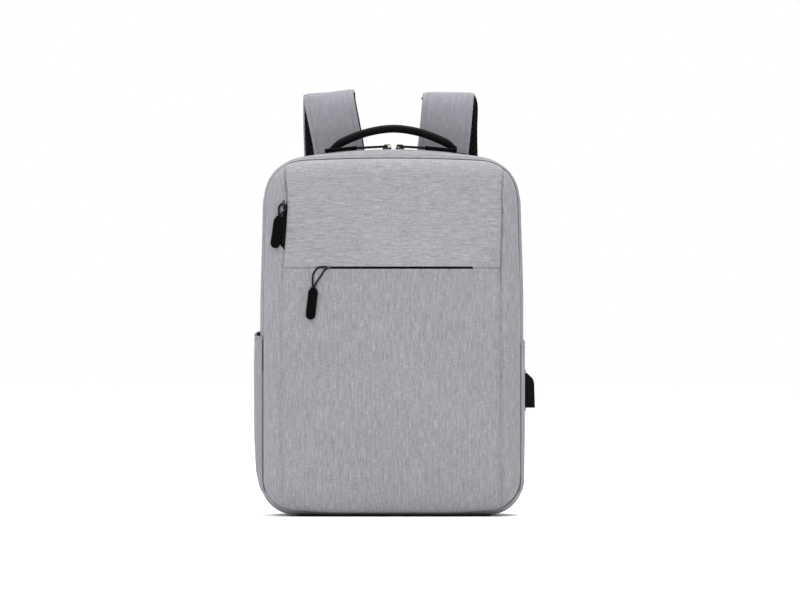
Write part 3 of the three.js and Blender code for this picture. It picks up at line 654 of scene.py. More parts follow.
def smooth_path(points, count):
    """count + 1 evenly spaced points on a centripetal Catmull-Rom curve through the points."""
    pts = np.array(points, float)
    pts = np.concatenate([[2 * pts[0] - pts[1]], pts, [2 * pts[-1] - pts[-2]]])
    found = []
    for a, b, c, d in zip(pts, pts[1:], pts[2:], pts[3:]):
        t1 = np.linalg.norm(b - a) ** 0.5
        t2 = t1 + np.linalg.norm(c - b) ** 0.5
        t3 = t2 + np.linalg.norm(d - c) ** 0.5
        for t in np.linspace(t1, t2, 24, endpoint=False):
            ab = (t1 - t) / t1 * a + t / t1 * b
            bc = (t2 - t) / (t2 - t1) * b + (t - t1) / (t2 - t1) * c
            cd = (t3 - t) / (t3 - t2) * c + (t - t2) / (t3 - t2) * d
            abc = (t2 - t) / t2 * ab + t / t2 * bc
            bcd = (t3 - t) / (t3 - t1) * bc + (t - t1) / (t3 - t1) * cd
            found.append((t2 - t) / (t2 - t1) * abc + (t - t1) / (t2 - t1) * bcd)
    found.append(pts[-2])
    return resample(np.array(found), count)


def resample(points, count):
    """count + 1 evenly spaced points along a row of points."""
    along = lengths(points)
    wanted = np.linspace(0, along[-1], count + 1)
    return np.stack([np.interp(wanted, along, points[:, k]) for k in range(3)], axis=1)


def directions(path, across, closed=False):
    """At each point of a path: its direction, the side that across gives, and the normal."""
    if closed:
        tangent = np.roll(path, -1, axis=0) - np.roll(path, 1, axis=0)
    else:
        tangent = np.gradient(path, axis=0)
    tangent /= np.linalg.norm(tangent, axis=1)[:, None]
    across = np.broadcast_to(np.array(across, float), path.shape)
    side = across - tangent * np.sum(across * tangent, axis=1)[:, None]
    side /= np.linalg.norm(side, axis=1)[:, None]
    return tangent, side, np.cross(tangent, side)


def rounded(width, thick, power, count):
    """A superellipse section."""
    angles = np.linspace(0, 2 * math.pi, count, endpoint=False)
    c, s = np.cos(angles), np.sin(angles)
    x = np.sign(c) * np.abs(c) ** (2 / power) * width / 2
    y = np.sign(s) * np.abs(s) ** (2 / power) * thick / 2
    return np.stack([x, y], axis=1)


def strip_uv(rings):
    """UVs in metres of a swept closed section: v along the path, u round the section."""
    middle = lengths(wrapped(rings)[len(rings) // 2])
    along = lengths(rings.mean(axis=1))
    return np.stack(np.meshgrid(middle, along), axis=-1)


def swept(name, path, section, material, across=RIGHT):
    """A solid along a path. section(share) gives its (sideways, outwards) points at a share of the way."""
    path = np.asarray(path, float)
    _, side, normal = directions(path, across)
    rings = []
    for i, point in enumerate(path):
        flat = section(i / (len(path) - 1))
        rings.append(point + flat[:, :1] * side[i] + flat[:, 1:] * normal[i])
    rings = np.array(rings)
    return cleaned(grid(name, rings, material, wrap=True, caps=True, uv=strip_uv(rings)))


def flat_band(name, path, section, material, across=RIGHT):
    """A band whose section stays the same: its width, thickness, power and count of points."""
    return swept(name, path, lambda share: rounded(*section), material, across)


def tube(name, path, radius, material, closed=False, sides=10):
    """A round tube, such as a cord or a piping."""
    path = np.asarray(path, float)
    _, side, normal = directions(path, UP if closed else OBLIQUE, closed)
    angles = np.linspace(0, 2 * math.pi, sides, endpoint=False)[None, :, None]
    rings = path[:, None] + radius * (np.cos(angles) * side[:, None] + np.sin(angles) * normal[:, None])
    if closed:
        rings = np.concatenate([rings, rings[:1]])
    made = grid(name, rings, material, wrap=True, caps=not closed, uv=strip_uv(rings))
    return cleaned(made, merge=True)


def lumps(name, rows, material):
    """Small closed lumps in one mesh, each of them a few sections of four points."""
    verts, faces = [], []
    for sections in rows:
        base = len(verts)
        for section in sections:
            verts += section
        for start in range(base, len(verts) - 4, 4):
            faces += [(a, a + 1, a + 5, a + 4) for a in range(start, start + 3)]
        faces.append((base + 3, base + 2, base + 1, base))
        faces.append(tuple(range(len(verts) - 4, len(verts))))
    return add_mesh(name, verts, faces, material)


def spread(out, path, count):
    """Ways out at the middles of count steps along a path. out is one way, or one for each point."""
    outs = np.broadcast_to(np.array(out, float), path.shape)
    share = np.linspace(0, 1, len(path))
    where = (np.arange(count) + 0.5) / count
    return np.stack([np.interp(where, share, outs[:, k]) for k in range(3)], axis=1)


def stitches(name, path, out, material):
    """A row of thread stitches on a path. out is the way that the cloth faces."""
    path = np.asarray(path, float)
    count = max(int(lengths(path)[-1] / STITCH["pitch"]), 1)
    points = resample(path, 2 * count)
    outs = spread(out, path, count)
    long, wide = STITCH["long"] / 2, STITCH["wide"] / 2
    rows = []
    for i in range(count):
        ahead = unit(points[2 * i + 2] - points[2 * i])
        normal = unit(outs[i] - ahead * np.dot(outs[i], ahead))
        side = np.cross(ahead, normal)
        at = points[2 * i + 1] - STITCH["sink"] * normal
        rows.append([
            [at + ahead * along * long + (side * c + normal * s) * wide * fat for c, s in HALF_ROUND]
            for along, fat in ((-1.0, 0.45), (-0.6, 1.0), (0.6, 1.0), (1.0, 0.45))
        ])
    return lumps(name, rows, material)


def joined(name, pieces):
    """Joins meshes into one, keeping their materials."""
    bpy.ops.object.select_all(action="DESELECT")
    for piece in pieces:
        piece.select_set(True)
    bpy.context.view_layer.objects.active = pieces[0]
    bpy.ops.object.join()
    pieces[0].name = name
    pieces[0].data.name = name
    return pieces[0]


def refined(node, material, bevel, segments):
    """A copy of a CAD node with flat faces merged, softened edges and a new material."""
    bm = bmesh.new()
    bm.from_mesh(NODES[node].data)
    bmesh.ops.remove_doubles(bm, verts=bm.verts, dist=MERGE)
    bmesh.ops.dissolve_limit(bm, angle_limit=math.radians(3), verts=bm.verts, edges=bm.edges)
    made = from_bmesh(f"{node}_shape", bm, material)
    modify(made, "BEVEL", width=bevel, segments=segments, limit_method="ANGLE", angle_limit=math.radians(28))
    apply_modifiers(made)
    smooth_shading(made)
    modify(made, "WEIGHTED_NORMAL", keep_sharp=True)
    return apply_modifiers(made)


def paint(node, material):
    """Gives a CAD node that keeps its shape a finished material."""
    mesh = NODES[node].data
    for k in range(len(mesh.materials)):
        mesh.materials[k] = material
    if not mesh.materials:
        mesh.materials.append(material)


def soften(points):
    """Gives points the stuffed body's lean, its slimness below the shoulders and its sag to the ground."""
    points = np.array(points, float)
    z = points[..., 2]
    above = np.clip((z - SLIM["start"]) / SLIM["rise"], 0, 1)
    shoulder = np.clip((z - SLIM["end"]) / SLIM["fall"], 0, 1)
    points[..., 0] = points[..., 0] * (1 - SLIM["most"] * above * (1 - shoulder)) + LEAN_X
    middle = np.clip((SAG["half"] - np.abs(points[..., 0])) / SAG["fade"], 0, 1)
    low = np.clip((SAG["top"] - z) / SAG["reach"], 0, 1)
    points[..., 2] = z * (1 - SAG["most"] * middle * middle * (3 - 2 * middle) * low)
    return points


def soften_piece(piece):
    """Gives a piece the body's lean, slimness and sag."""
    set_coordinates(piece, soften(coordinates(piece)))
    return piece


def ripple(x, z, size, seed):
    """A soft, even unevenness from -1 to 1."""
    return noise.noise(Vector((x / size, seed, z / size)))


def smoothstep(value, low, high):
    """Rises softly from 0 at low to 1 at high."""
    t = min(max((value - low) / (high - low), 0.0), 1.0)
    return t * t * (3 - 2 * t)


def stand_for(nodes):
    """Hides the CAD nodes that a piece replaces."""
    if nodes:
        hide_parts(*nodes)


def attach(piece, body, slot_name, *nodes):
    """Lets a piece move with one body."""
    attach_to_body(piece, body)
    stand_for(nodes)


def attach_at_fold(piece, slot_name, *nodes):
    """Bakes a piece's placement into its mesh and hides the CAD nodes that it stands for."""
    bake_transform(piece)
    stand_for(nodes)


# ---- Front panel ----
def crease_at(z, side):
    """Distance of a vertical crease from the middle."""
    low, high = CREASES[side]
    return low + (high - low) * smoothstep(z, 0.27, 0.35)


def opening_at(z):
    """Width of the vertical pocket's open part."""
    share = (OPENING["top"] - z) / (OPENING["top"] - OPENING["bottom"])
    if not 0 < share < 1:
        return 0.0
    return OPENING["wide"] * min(1.0, 3.0 * share) * math.sqrt(1 - smoothstep(share, 0.80, 1.0))


def front_depth(x, z):
    """How far back the front panel's cloth lies at (x, z)."""
    d = max(depth_inside(SEAM, x, z), 0.0)
    roll = max(1 - d / EDGE_ROLL, 0.0)
    y = FRONT_Y + (SEAM_Y - FRONT_Y) * (1 - math.sqrt(max(1 - roll**2, 0.0)))
    # The cloth dips into the seam round the panel.
    y += 0.0014 * hump(d, 0.0014)
    # The left crease is kept calm where the side pocket's puller travels.
    calm = smoothstep(-x, 0.110, 0.118) * smoothstep(z, 0.11, 0.15)
    flat = smoothstep(d, 0.004, 0.05) * (1 - calm)
    y -= flat * (0.0006 + 0.0009 * ripple(x, z, 0.11, 3.1) + 0.0004 * ripple(x, z, 0.04, 7.7))
    # The pressed crease: a narrow line in a wider hollow, with a low swelling inside it.
    side = 1 if x > 0 else -1
    crease = abs(x) - crease_at(z, side)
    sharp = 1.0 if x > 0 else 0.55 + 0.45 * smoothstep(z, 0.30, 0.36)
    crisp = smoothstep(z, 0.25, 0.29)
    y += sharp * (0.0006 + 0.0016 * crisp) * hump(crease - 0.0004, 0.0008)
    y += (0.0018 - 0.0009 * crisp) * hump(crease - 0.0008, 0.0030)
    y -= (1 - calm) * sharp * 0.0007 * hump(crease + 0.005, 0.004)
    y += 0.0012 * smoothstep(crease, 0.001, 0.012)
    y += calm * 0.0014 * hump(crease - 0.006, 0.005) * (1 - smoothstep(z, 0.27, 0.30))
    if crease < 0:
        # The seam that the front pocket's slit lies in, between two low swellings.
        away = z - POCKET_SEAM_Z
        y += 0.0015 * hump(away, 0.0007)
        y -= 0.0011 * hump(away - 0.0035, 0.0028) + 0.0006 * hump(away + 0.003, 0.0022)
    return y


def panel_columns():
    """Shares of the way from the middle to the creases, from -1 to 1, close together at the creases."""
    near = 1 - np.array([0.064, 0.048, 0.036, 0.024, 0.016, 0.008, 0.003, 0.0])
    middle = np.linspace(-near[0], near[0], 90)
    return np.concatenate([-near[:0:-1], middle, near[1:]])


def wing_xs(z, side):
    """x of a wing's columns at a height: a few in the pocket's mouth, then out to the seam."""
    crease = crease_at(z, side)
    mouth = max(opening_at(z), 0.0010) if side < 0 else 0.0010
    first = crease + mouth * np.array([0.06, 0.3, 0.6, 0.94, 1.0])
    rest = first[-1] + (SEAM["half"] - first[-1]) * np.sin(np.linspace(0, math.pi / 2, 15))[1:]
    return np.concatenate([first, rest])


def panel_rows(bottom, top):
    """z of a column's points, close together at both ends and at the pocket's seam."""
    gap = 0.0030
    below, over = (0.4 * eased(count) + 0.6 * np.linspace(0, 1, count) for count in (120, 64))
    low, high = POCKET_SEAM_Z - gap, POCKET_SEAM_Z + gap
    half = SLIT["half"]
    above = np.array([0.0003, half, half + 0.0001, 0.0016, 0.0022])
    near = POCKET_SEAM_Z + np.concatenate([-above[::-1], above])
    return np.concatenate([bottom + (low - bottom) * below, near, high + (top - high) * over])


def unrolled(points):
    """UVs of the front panel, laid out flat: the cloth that turns back at the edge goes on outwards."""
    step = 0.0005
    uv = np.zeros((*points.shape[:2], 2))
    for index in np.ndindex(*points.shape[:2]):
        x, y, z = points[index]
        back = max(y - FRONT_Y, 0) * (max(depth_inside(SEAM, x, z), 0) < EDGE_ROLL + 0.001)
        out_x = depth_inside(SEAM, x - step, z) - depth_inside(SEAM, x + step, z)
        out_z = depth_inside(SEAM, x, z - step) - depth_inside(SEAM, x, z + step)
        uv[index] = (x + back * out_x / (2 * step), z + back * out_z / (2 * step))
    return uv


def panel_layout():
    """(x, z) of the front sheet's points by row and column, and the columns where the creases lie."""
    columns = []
    for share in panel_columns():
        side = 1 if share > 0 else -1
        lower, upper = (share * x for x in CREASES[side])
        heights = panel_rows(edge_heights(SEAM, lower)[0], edge_heights(SEAM, upper)[1])
        columns.append([(share * crease_at(z, side), z) for z in heights])
    wings = {}
    for side in (-1, 1):
        lower, upper = wing_xs(0.1, side), wing_xs(0.39, side)
        wings[side] = []
        for k in range(len(lower)):
            heights = panel_rows(edge_heights(SEAM, lower[k])[0], edge_heights(SEAM, upper[k])[1])
            wings[side].append([(side * wing_xs(z, side)[k], z) for z in heights])
    flat = np.array(wings[-1][::-1] + columns + wings[1]).transpose(1, 0, 2)
    return flat, len(wings[-1]), flat.shape[1] - len(wings[1])


def front_panel():
    """The whole front as one sheet: lower and upper panel between the creases, and a wing at each side."""
    flat, first, last = panel_layout()
    count, width = flat.shape[:2]
    middle_column = flat[:, width // 2, 1]
    slit_rows = [i for i in range(count) if abs(middle_column[i] - POCKET_SEAM_Z) < SLIT["half"] + 0.00005]
    points = np.zeros((count, width, 3))
    for i, j in np.ndindex(count, width):
        x, z = flat[i, j]
        y = front_depth(x, z)
        if i in slit_rows and SLIT["left"] < x < SLIT["right"]:
            y += SLIT["depth"] * min(1, (x - SLIT["left"]) / 0.004, (SLIT["right"] - x) / 0.004)
        open_here = opening_at(z)
        if first - WING_COLUMNS < j < first and open_here:
            y += OPENING["depth"] * min(1, open_here / 0.003)
        points[i, j] = (x, y, z)
    made = grid("front_cloth", points, HEATHER, uv=unrolled(points), inside=(0, 0, 0.2))
    made.data.materials.append(ZIP)
    made.data.materials.append(HEATHER_UPPER_PAINTED_LIGHT)
    layer = made.data.uv_layers[0].data
    for polygon in made.data.polygons:
        i, j = divmod(polygon.index, width - 1)
        middle = polygon.center
        if first <= j < last - 1 and middle.z > POCKET_SEAM_Z:
            # The upper panel is cut with its yarns running across, and its cloth is a lighter copy of the
            # heather: painted light.
            polygon.material_index = 2
            for k in polygon.loop_indices:
                u, v = layer[k].uv
                layer[k].uv = (v + 0.5, u + 0.7)
        # The slit's cells take the black of the zip tape that lies in it. The side pocket's open mouth is
        # black for its tape and also as painted shade inside the opening.
        in_slit = i in slit_rows and i + 1 in slit_rows and SLIT["left"] < middle.x < SLIT["right"]
        in_mouth = first - WING_COLUMNS <= j < first and opening_at(middle.z)
        if in_slit or in_mouth:
            polygon.material_index = 1
    soften_piece(made)
    return thicken(made)


def gusset_ring(share, step=0.004):
    """An outline between the front panel's seam (0) and the main zip (1)."""
    front = outline(SEAM, 0.0, step)
    back = outline(BODY, 0.0, step)
    flat = front + (back - front) * share
    y = SEAM_Y + (FRONT_EDGE_Y - SEAM_Y) * share
    return np.stack([flat[:, 0], np.full(len(flat), y), flat[:, 1]], axis=1)


def sunk(points, amount):
    """Moves a ring of the body towards its middle line by an amount."""
    return points - outward(points) * amount


def outward(points):
    """The way out of the body, square to its depth, at each point of a ring."""
    away = points - np.array([0, 0, 0.2])
    away[:, 1] = 0
    return away / np.linalg.norm(away, axis=1)[:, None]


def ring_uv(rings, across):
    """UVs of a strip round the body. u is across, one value for each ring, and v runs round."""
    return np.stack(np.meshgrid(lengths(wrapped(rings)[5]), across), axis=-1)[:, :, ::-1]


def front_gusset():
    """The strip between the front panel and the main zip, with the ribs of its rows of stitching."""
    shares = np.linspace(0, 1, 33)
    ribs = 0.40 * np.cos(2 * math.pi * shares / 0.235) * (1 - shares) ** 0.5
    sinks = -0.45 * np.sin(math.pi * shares) - ribs * (shares > 0.08)
    sinks += 1.6 * np.exp(-((shares / 0.04) ** 2)) + 0.5 * np.exp(-(((1 - shares) / 0.05) ** 2))
    rings = np.array([sunk(gusset_ring(s), k * MM) for s, k in zip(shares, sinks)])
    uv = ring_uv(rings, np.linspace(0, GUSSET_WIDTH, len(rings)))
    inside = (0, -0.035, 0.2)
    return thicken(grid("front_gusset_cloth", soften(rings), HEATHER, wrap=True, uv=uv, inside=inside))


def seam_shade_tube():
    """Painted shade: a dark tube in the seam round the front panel, thickest where the seam lies open at the
    top and at the right corners.
    """
    path = gusset_ring(0.02, 0.003)
    _, side, normal = directions(path, (0, 1, 0), closed=True)
    angles = np.linspace(0, 2 * math.pi, 8, endpoint=False)[:, None]
    rings = []
    for i, (x, _, z) in enumerate(path):
        top = smoothstep(z, 0.385, 0.400) * smoothstep(x, -0.128, -0.10)
        right = smoothstep(x, 0.10, 0.13) * smoothstep(z, 0.26, 0.34)
        corner = smoothstep(x, 0.118, 0.13) * smoothstep(z, 0.008, 0.018) * (1 - smoothstep(z, 0.040, 0.050))
        radius = (0.10 + 0.50 * max(top, 0.75 * right, 1.2 * corner)) * MM
        rings.append(path[i] + radius * (np.cos(angles) * side[i] + np.sin(angles) * normal[i]))
    rings.append(rings[0])
    return cleaned(grid("front_seam_shade_tube", soften(rings), SEAM_SHADE, wrap=True), merge=True)


def cloth_front():
    """The front panel, its gusset, the painted shade in its seam, and their rows of stitching."""
    panel = front_panel()
    pieces = [panel, front_gusset(), seam_shade_tube()]
    path = sunk(gusset_ring(0.36), -0.65 * MM)
    away = outward(path)
    around = np.concatenate([path, path[:1]])
    outs = np.concatenate([away, away[:1]])
    pieces.append(stitches("gusset_stitches", soften(around), outs, GRAY_THREAD))
    lines = {}
    for name, side in LEFT_RIGHT:
        low, high = CREASE_STITCHES[side]
        lines[f"crease_stitches_{name}"] = [
            (side * (crease_at(z, side) - 0.0042), z) for z in np.linspace(low, high, 120)
        ]
    ends = 0.004 - crease_at(0.29, -1), crease_at(0.29, 1) - 0.004
    lines["pocket_seam_stitches"] = [(x, POCKET_SEAM_Z + 0.0052) for x in np.linspace(*ends, 90)]
    for name, flat in lines.items():
        line = [(x, front_depth(x, z) - 0.1 * MM, z) for x, z in flat]
        pieces.append(stitches(name, soften(line), (0, -1, 0), GRAY_THREAD))
    for piece in pieces:
        attach_at_fold(piece, "outer_cloth")
    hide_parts("front_panel_upper", "front_panel_lower", "front_fold")


# ---- Zips ----
def zip_teeth(name, path, out, towards, pitch=1.5 * MM):
    """Small round-ended teeth along a path, reaching towards one side."""
    path = np.asarray(path, float)
    count = int(lengths(path)[-1] / pitch)
    points = resample(path, count)
    outs = spread(out, path, count)
    towards = np.array(towards, float)
    rows = []
    for i in range(count):
        at = (points[i] + points[i + 1]) / 2
        ahead = unit(points[i + 1] - points[i])
        normal = unit(outs[i])
        rows.append([
            [
                at + towards * reach * MM + (ahead * c * 0.42 + normal * s * 0.8) * MM * fat
                for c, s in ((-1, 0), (-0.7, 0.8), (0.7, 0.8), (1, 0))
            ]
            for reach, fat in ((-0.6, 0.7), (0.9, 1.0), (1.9, 0.6))
        ])
    return lumps(name, rows, TEETH)


def zip_path(y, inset, beyond):
    """The part of the body's outline at depth y that the main zip follows, down to beyond the fold."""
    points = ring(BODY, inset, y)
    return points[points[:, 2] > FOLD_Z - beyond]


def main_zip():
    """Both tapes with their teeth, and the strip of cloth that goes on below them under the base."""
    for kind, near, far, way in ZIP_TAPES:
        rows = [
            zip_path(near + (far - near) * s, 0.0008 + 0.0003 * s, TAPE_BELOW_FOLD)
            for s in np.linspace(0, 1, 5)
        ]
        tape = grid(f"main_zip_{kind}_cloth", rows, ZIP, inside=(0, ZIP_Y, 0.2))
        soften_piece(tape)
        thicken(tape)
        edge = zip_path(ZIP_Y - way * 0.0019, 0.0011, -0.001)
        teeth = zip_teeth(f"main_zip_{kind}_teeth", soften(edge), outward(edge), (0, way, 0))
        for piece in (tape, teeth):
            if kind == "rear":
                attach(piece, "bag_body", "zip_tape")
            else:
                attach_at_fold(piece, "zip_tape")
        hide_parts(f"main_zip_{kind}_tape")
    count = len(outline(BODY))
    order = np.roll(np.arange(count), count // 3)
    start, deep = FRONT_EDGE_Y - 0.0004, REAR_EDGE_Y - FRONT_EDGE_Y
    points = np.array([
        ring(BODY, 0.0006 * (1 - math.sin(math.pi * s)), start + deep * s)[order]
        for s in np.linspace(0, 1, 5)
    ])
    heights = points[0, :, 2]

    def below_zip(_, j):
        return max(heights[j], heights[(j + 1) % count]) < FOLD_Z - 0.001

    strip = grid("base_gusset_cloth", points, HEATHER, inside=(0, ZIP_Y, 0.2), keep=below_zip)
    swap_uv(strip)
    soften_piece(strip)
    attach(thicken(strip), "bag_body", "outer_cloth")


def swap_uv(piece):
    """Turns the yarn direction by a quarter."""
    layer = piece.data.uv_layers[0].data
    for corner in layer:
        u, v = corner.uv
        corner.uv = (v, u)


def pocket_zips():
    """The teeth in the front pocket's slit."""
    left, right = SLIT["left"] + 0.001, SLIT["right"] - 0.001
    path = soften([(x, FRONT_Y + 0.0030, POCKET_SEAM_Z) for x in np.linspace(left, right, 40)])
    teeth = zip_teeth("front_pocket_teeth", path, (0, -1, 0), (0, 0, 0.4), 1.3 * MM)
    attach(teeth, "front_section", "zip_tape", "front_pocket_zip")


# ---- Rear: sides, back ----
def back_depth(x, z):
    """How far back the mesh lies at (x, z): it rolls over at its edge."""
    d = max(depth_inside(BODY, x, z), 0.0)
    roll = max(1 - d / 0.013, 0.0)
    return BACK_Y - 0.0100 * (1 - math.sqrt(max(1 - roll**2, 0.0)))


def side_cloth():
    """The sides and the top in heathered cloth, softly uneven between their seams."""
    near = [REAR_EDGE_Y, REAR_EDGE_Y + 0.001, REAR_EDGE_Y + 0.003]
    stations = [*near, *np.linspace(-0.010, 0.044, 14), 0.047, 0.049, BACK_BEND_Y]
    sinks = [0.5, 0.1, 0.0, *([-0.3] * 14), 0.0, 0.3, 1.0]
    rings = []
    for y, k in zip(stations, sinks):
        points = sunk(ring(BODY, 0.0, y), k * MM)
        inner = -0.015 < y < 0.046
        wave = np.array([0.7 * MM * ripple(p[1] * 1.3, p[0] + p[2], 0.09, 5.0) * inner for p in points])
        rings.append(points + outward(points) * wave[:, None])
    rings = np.array(rings)
    uv = ring_uv(rings, stations)
    made = grid("side_cloth", soften(rings), HEATHER, wrap=True, uv=uv, inside=(0, 0.02, 0.2))
    attach(thicken(made), "bag_body", "outer_cloth", "rear_shell")


def back_cloth():
    """The back in mesh, as one sheet."""
    columns = BODY["half"] * (2 * eased(90) - 1)
    shares = eased(110)
    points = np.zeros((len(shares), len(columns), 3))
    for j, x in enumerate(columns):
        bottom, top = edge_heights(BODY, x)
        for i, s in enumerate(shares):
            z = bottom + (top - bottom) * s
            points[i, j] = (x, back_depth(x, z), z)
    made = grid("back_cloth", soften(points), BACK_MESH, inside=(0, 0.02, 0.2))
    attach(thicken(made), "bag_body", "outer_cloth")


def back_piping():
    """The piping between the sides and the back, kept clear of the ground."""
    seam = sunk(ring(BODY, 0.0, BACK_BEND_Y + 0.0006), 0.2 * MM)
    seam[:, 2] = np.maximum(seam[:, 2], PIPING["lowest"])
    piping = tube("back_piping", soften(seam), PIPING["radius"], WEBBING, closed=True)
    attach(piping, "bag_body", "outer_cloth")


# ---- Bottle pockets ----
def half_width(z):
    """Half width of the body at a height, lower corner included."""
    low = BODY["bottom_corner"]
    down = max(BODY["bottom"] + low - z, 0)
    return BODY["half"] - low + math.sqrt(low**2 - down**2)


def taper(y):
    """How much narrower each side of the body is at a depth in front of the main zip."""
    share = min(max((FRONT_EDGE_Y - y) / (FRONT_EDGE_Y - SEAM_Y), 0), 1)
    return (BODY["half"] - SEAM["half"]) * share


def pocket_mouth(y, side):
    """Height of a bottle pocket's mouth: it slopes up towards the back."""
    share = (y - POCKET_FRONT) / (POCKET_BACK - POCKET_FRONT)
    back, slope = (0.0035, 0.0060) if side < 0 else (-0.0055, 0.0048)
    return POCKET_TOP + back - slope * (1 - share)


def pocket_rows(side, sag):
    """Rows of a pocket's cloth, from its bottom edge up to its mouth."""
    deep = POCKET_BACK - POCKET_FRONT
    depths = POCKET_FRONT + deep * eased(34)
    parts = ((0, 0.2, 16), (0.215, 0.93, 44), (0.934, 1, 34))
    shares = np.concatenate([np.linspace(*part) for part in parts])
    rows = np.zeros((len(shares), len(depths), 3))
    for i, j in np.ndindex(*rows.shape[:2]):
        share, y = shares[i], depths[j]
        swing = math.sin(math.pi * (y - POCKET_FRONT) / deep)
        mouth = pocket_mouth(y, side)
        z = POCKET_BOTTOM + (mouth - POCKET_BOTTOM) * share
        full = np.interp(z, *zip(*sag)) * MM
        belly = EDGE_LIFT + (full - EDGE_LIFT) * max(swing, 0) ** 0.5
        under = (mouth - z) - HEM
        hem = 0.9 * MM * hump(under, 0.0006)
        gather = 0.22 * MM * math.sin(y / 0.0024) * smoothstep(-under, -0.008, 0.002)
        soft = 0.35 * MM * ripple(y, z, 0.045, 2.0 + side) * swing * min(1, 4 * share)
        rows[i, j] = (side * (half_width(z) - taper(y) + belly - hem + gather + soft), y, z)
    return rows


def bottle_pocket(name, side, sag):
    """Cloth sewn on at its front, back and bottom edges, hemmed across the mouth."""
    rows = pocket_rows(side, sag)
    inside = (0, 0, 0.1)
    cloth = thicken(grid(f"{name}_cloth", soften(rows), HEATHER_POCKET_PAINTED_SHADE, inside=inside), POCKET["cloth"])
    inner = soften(rows[-44:] - np.array([side * 1.6 * MM, 0, 0]))
    facing = thicken(grid(f"{name}_facing", inner, ZIP, inside=inside), POCKET["facing"])
    rim_path = soften(rows[-1] - np.array([side * 1.2 * MM, 0, 0]))
    rim = tube(f"{name}_rim", rim_path, POCKET["rim"], HEATHER_POCKET_PAINTED_SHADE)
    attach(cloth, "bag_body", "outer_cloth", name)
    attach(facing, "bag_body", "lining_cloth")
    attach(rim, "bag_body", "outer_cloth")
    lines = (("hem", rows[-14], 0), ("front", rows[:, 2], -0.3), ("back", rows[:, -3], 0.3))
    for label, line, lean in lines:
        row = stitches(f"{name}_{label}_stitches", soften(line), (side, lean, 0), GRAY_THREAD)
        attach(row, "bag_body", "outer_cloth")


# ---- Handle ----
def crown_height(x):
    """Height of the body's top at x."""
    return BODY["top"] - BODY["crown"] + math.sqrt(BODY["crown"] ** 2 - x**2)


def handle_section(s):
    """The grip's section at a share of its length: thin at both ends, and grooved along each side."""
    share = smoothstep(min(s, 1 - s), 0, 0.09)
    width, thick = (HANDLE_ENDS + (HANDLE_GRIP - HANDLE_ENDS) * share) * MM
    flat = rounded(width, thick, 2.7, 44)
    groove = np.exp(-(((np.abs(flat[:, 0]) - 0.36 * width) / (0.45 * MM)) ** 2))
    flat[:, 1] -= np.sign(flat[:, 1]) * groove * 0.35 * MM * share
    return flat


def handle():
    """A moulded grip whose solid ends go into their patches."""
    half = [(x * MM, HANDLE_Y, z * MM) for x, z in HANDLE_ROUTE]
    route = [(-x, y, z) for x, y, z in half] + half[-2::-1]
    grip = swept("handle_shape", smooth_path(route, 140), handle_section, HANDLE, BACKWARDS)
    attach(grip, "carry_handle", "handle_rubber", "handle_grip")
    for name, side in LEFT_RIGHT:
        handle_patch(f"handle_patch_{name}", side)


def handle_patch(node, side):
    """The patch over one end of the handle, sewn down near its four edges."""
    xs = side * np.linspace(PATCH["near"], PATCH["far"], 16)
    rows = np.array([(x, HANDLE_Y, crown_height(x) + 0.0010) for x in xs])
    patch = flat_band(f"{node}_cloth", rows, (PATCH["width"], 0.0016, 5, 24), WEBBING, BACKWARDS)
    attach(patch, "bag_body", "webbing", node)
    shifts = np.linspace(-PATCH["sewn"], PATCH["sewn"], 12)
    lines = [rows[1:-1] + np.array([0, shift, 0.0008]) for shift in shifts[[0, -1]]]
    lines += [rows[k] + np.array([(0, shift, 0.0008) for shift in shifts]) for k in (1, -2)]
    for k, line in enumerate(lines):
        row = stitches(f"{node}_stitches_{k}", line, (0, 0, 1), BLACK_THREAD)
        attach(row, "bag_body", "webbing")


# ---- Pullers ----
def frame_at(point, along, out):
    """A placement in metres: x along the zip, z out of the cloth."""
    z = Vector(out).normalized()
    x = (Vector(along) - z * Vector(along).dot(z)).normalized()
    axes = Matrix((x, z.cross(x), z)).transposed()
    return Matrix.Translation(Vector(point)) @ axes.to_4x4()


def teardrop(length, half):
    """A cord loop from the slider's eye to the grip, in mm, as long and half as wide as given."""
    near = [(0, 1.3), (0.5, 2.5), (1.7, 3.3), (max(0.25 * length, 4.2), max(0.92 * half, 3.6))]
    far = [(0.5 * length, half), (0.78 * length, 0.55 * half), (length, 0.26 * half)]
    side = near + far
    return [(0, 0), *side, *[(x, -y) for x, y in reversed(side)]]


def closed_path(points, count):
    """count points on a closed centripetal curve through the points."""
    several = [*points[-3:], *points, *points[:3]]
    dense = smooth_path(several, 20 * len(several))
    first = np.argmin(np.linalg.norm(dense[:80] - points[0], axis=1))
    last = len(dense) - 80 + np.argmin(np.linalg.norm(dense[-80:] - points[0], axis=1))
    return resample(dense[first:last + 1], count)[:-1]


def grip_section(x, thick):
    """Points of the grip's section at x mm: blunt at both ends, with a raised edge round its ribs."""
    length, half, neck = GRIP_SHAPE["length"], GRIP_SHAPE["half"], GRIP_SHAPE["neck"]
    wide = neck + (half - neck) * smoothstep(x, -1.0, 6.0)
    if x > length - half:
        wide *= math.sqrt(max(1 - ((x - length + half) / (half + 0.03)) ** 2, 0.004))
    blunt = 1.0
    for away in (x, length - x):
        blunt *= math.sqrt(max(1 - max(0, 1 - away / 0.8) ** 2, 0.05))
    flat = rounded(2 * wide, 2 * thick * blunt, 4.2, 56)
    ribbed = smoothstep(x, 5.0, 6.0) * (1 - smoothstep(x, 33.0, 34.5))
    inner = np.clip((wide - 0.9 - np.abs(flat[:, 0])) / 0.5, 0, 1) * ribbed
    rib = 0.5 + 0.5 * math.cos(2 * math.pi * x / 2.05)
    flat[:, 1] -= np.sign(flat[:, 1]) * inner * (0.42 - 0.30 * rib)
    return [(x, a, b) for a, b in flat]


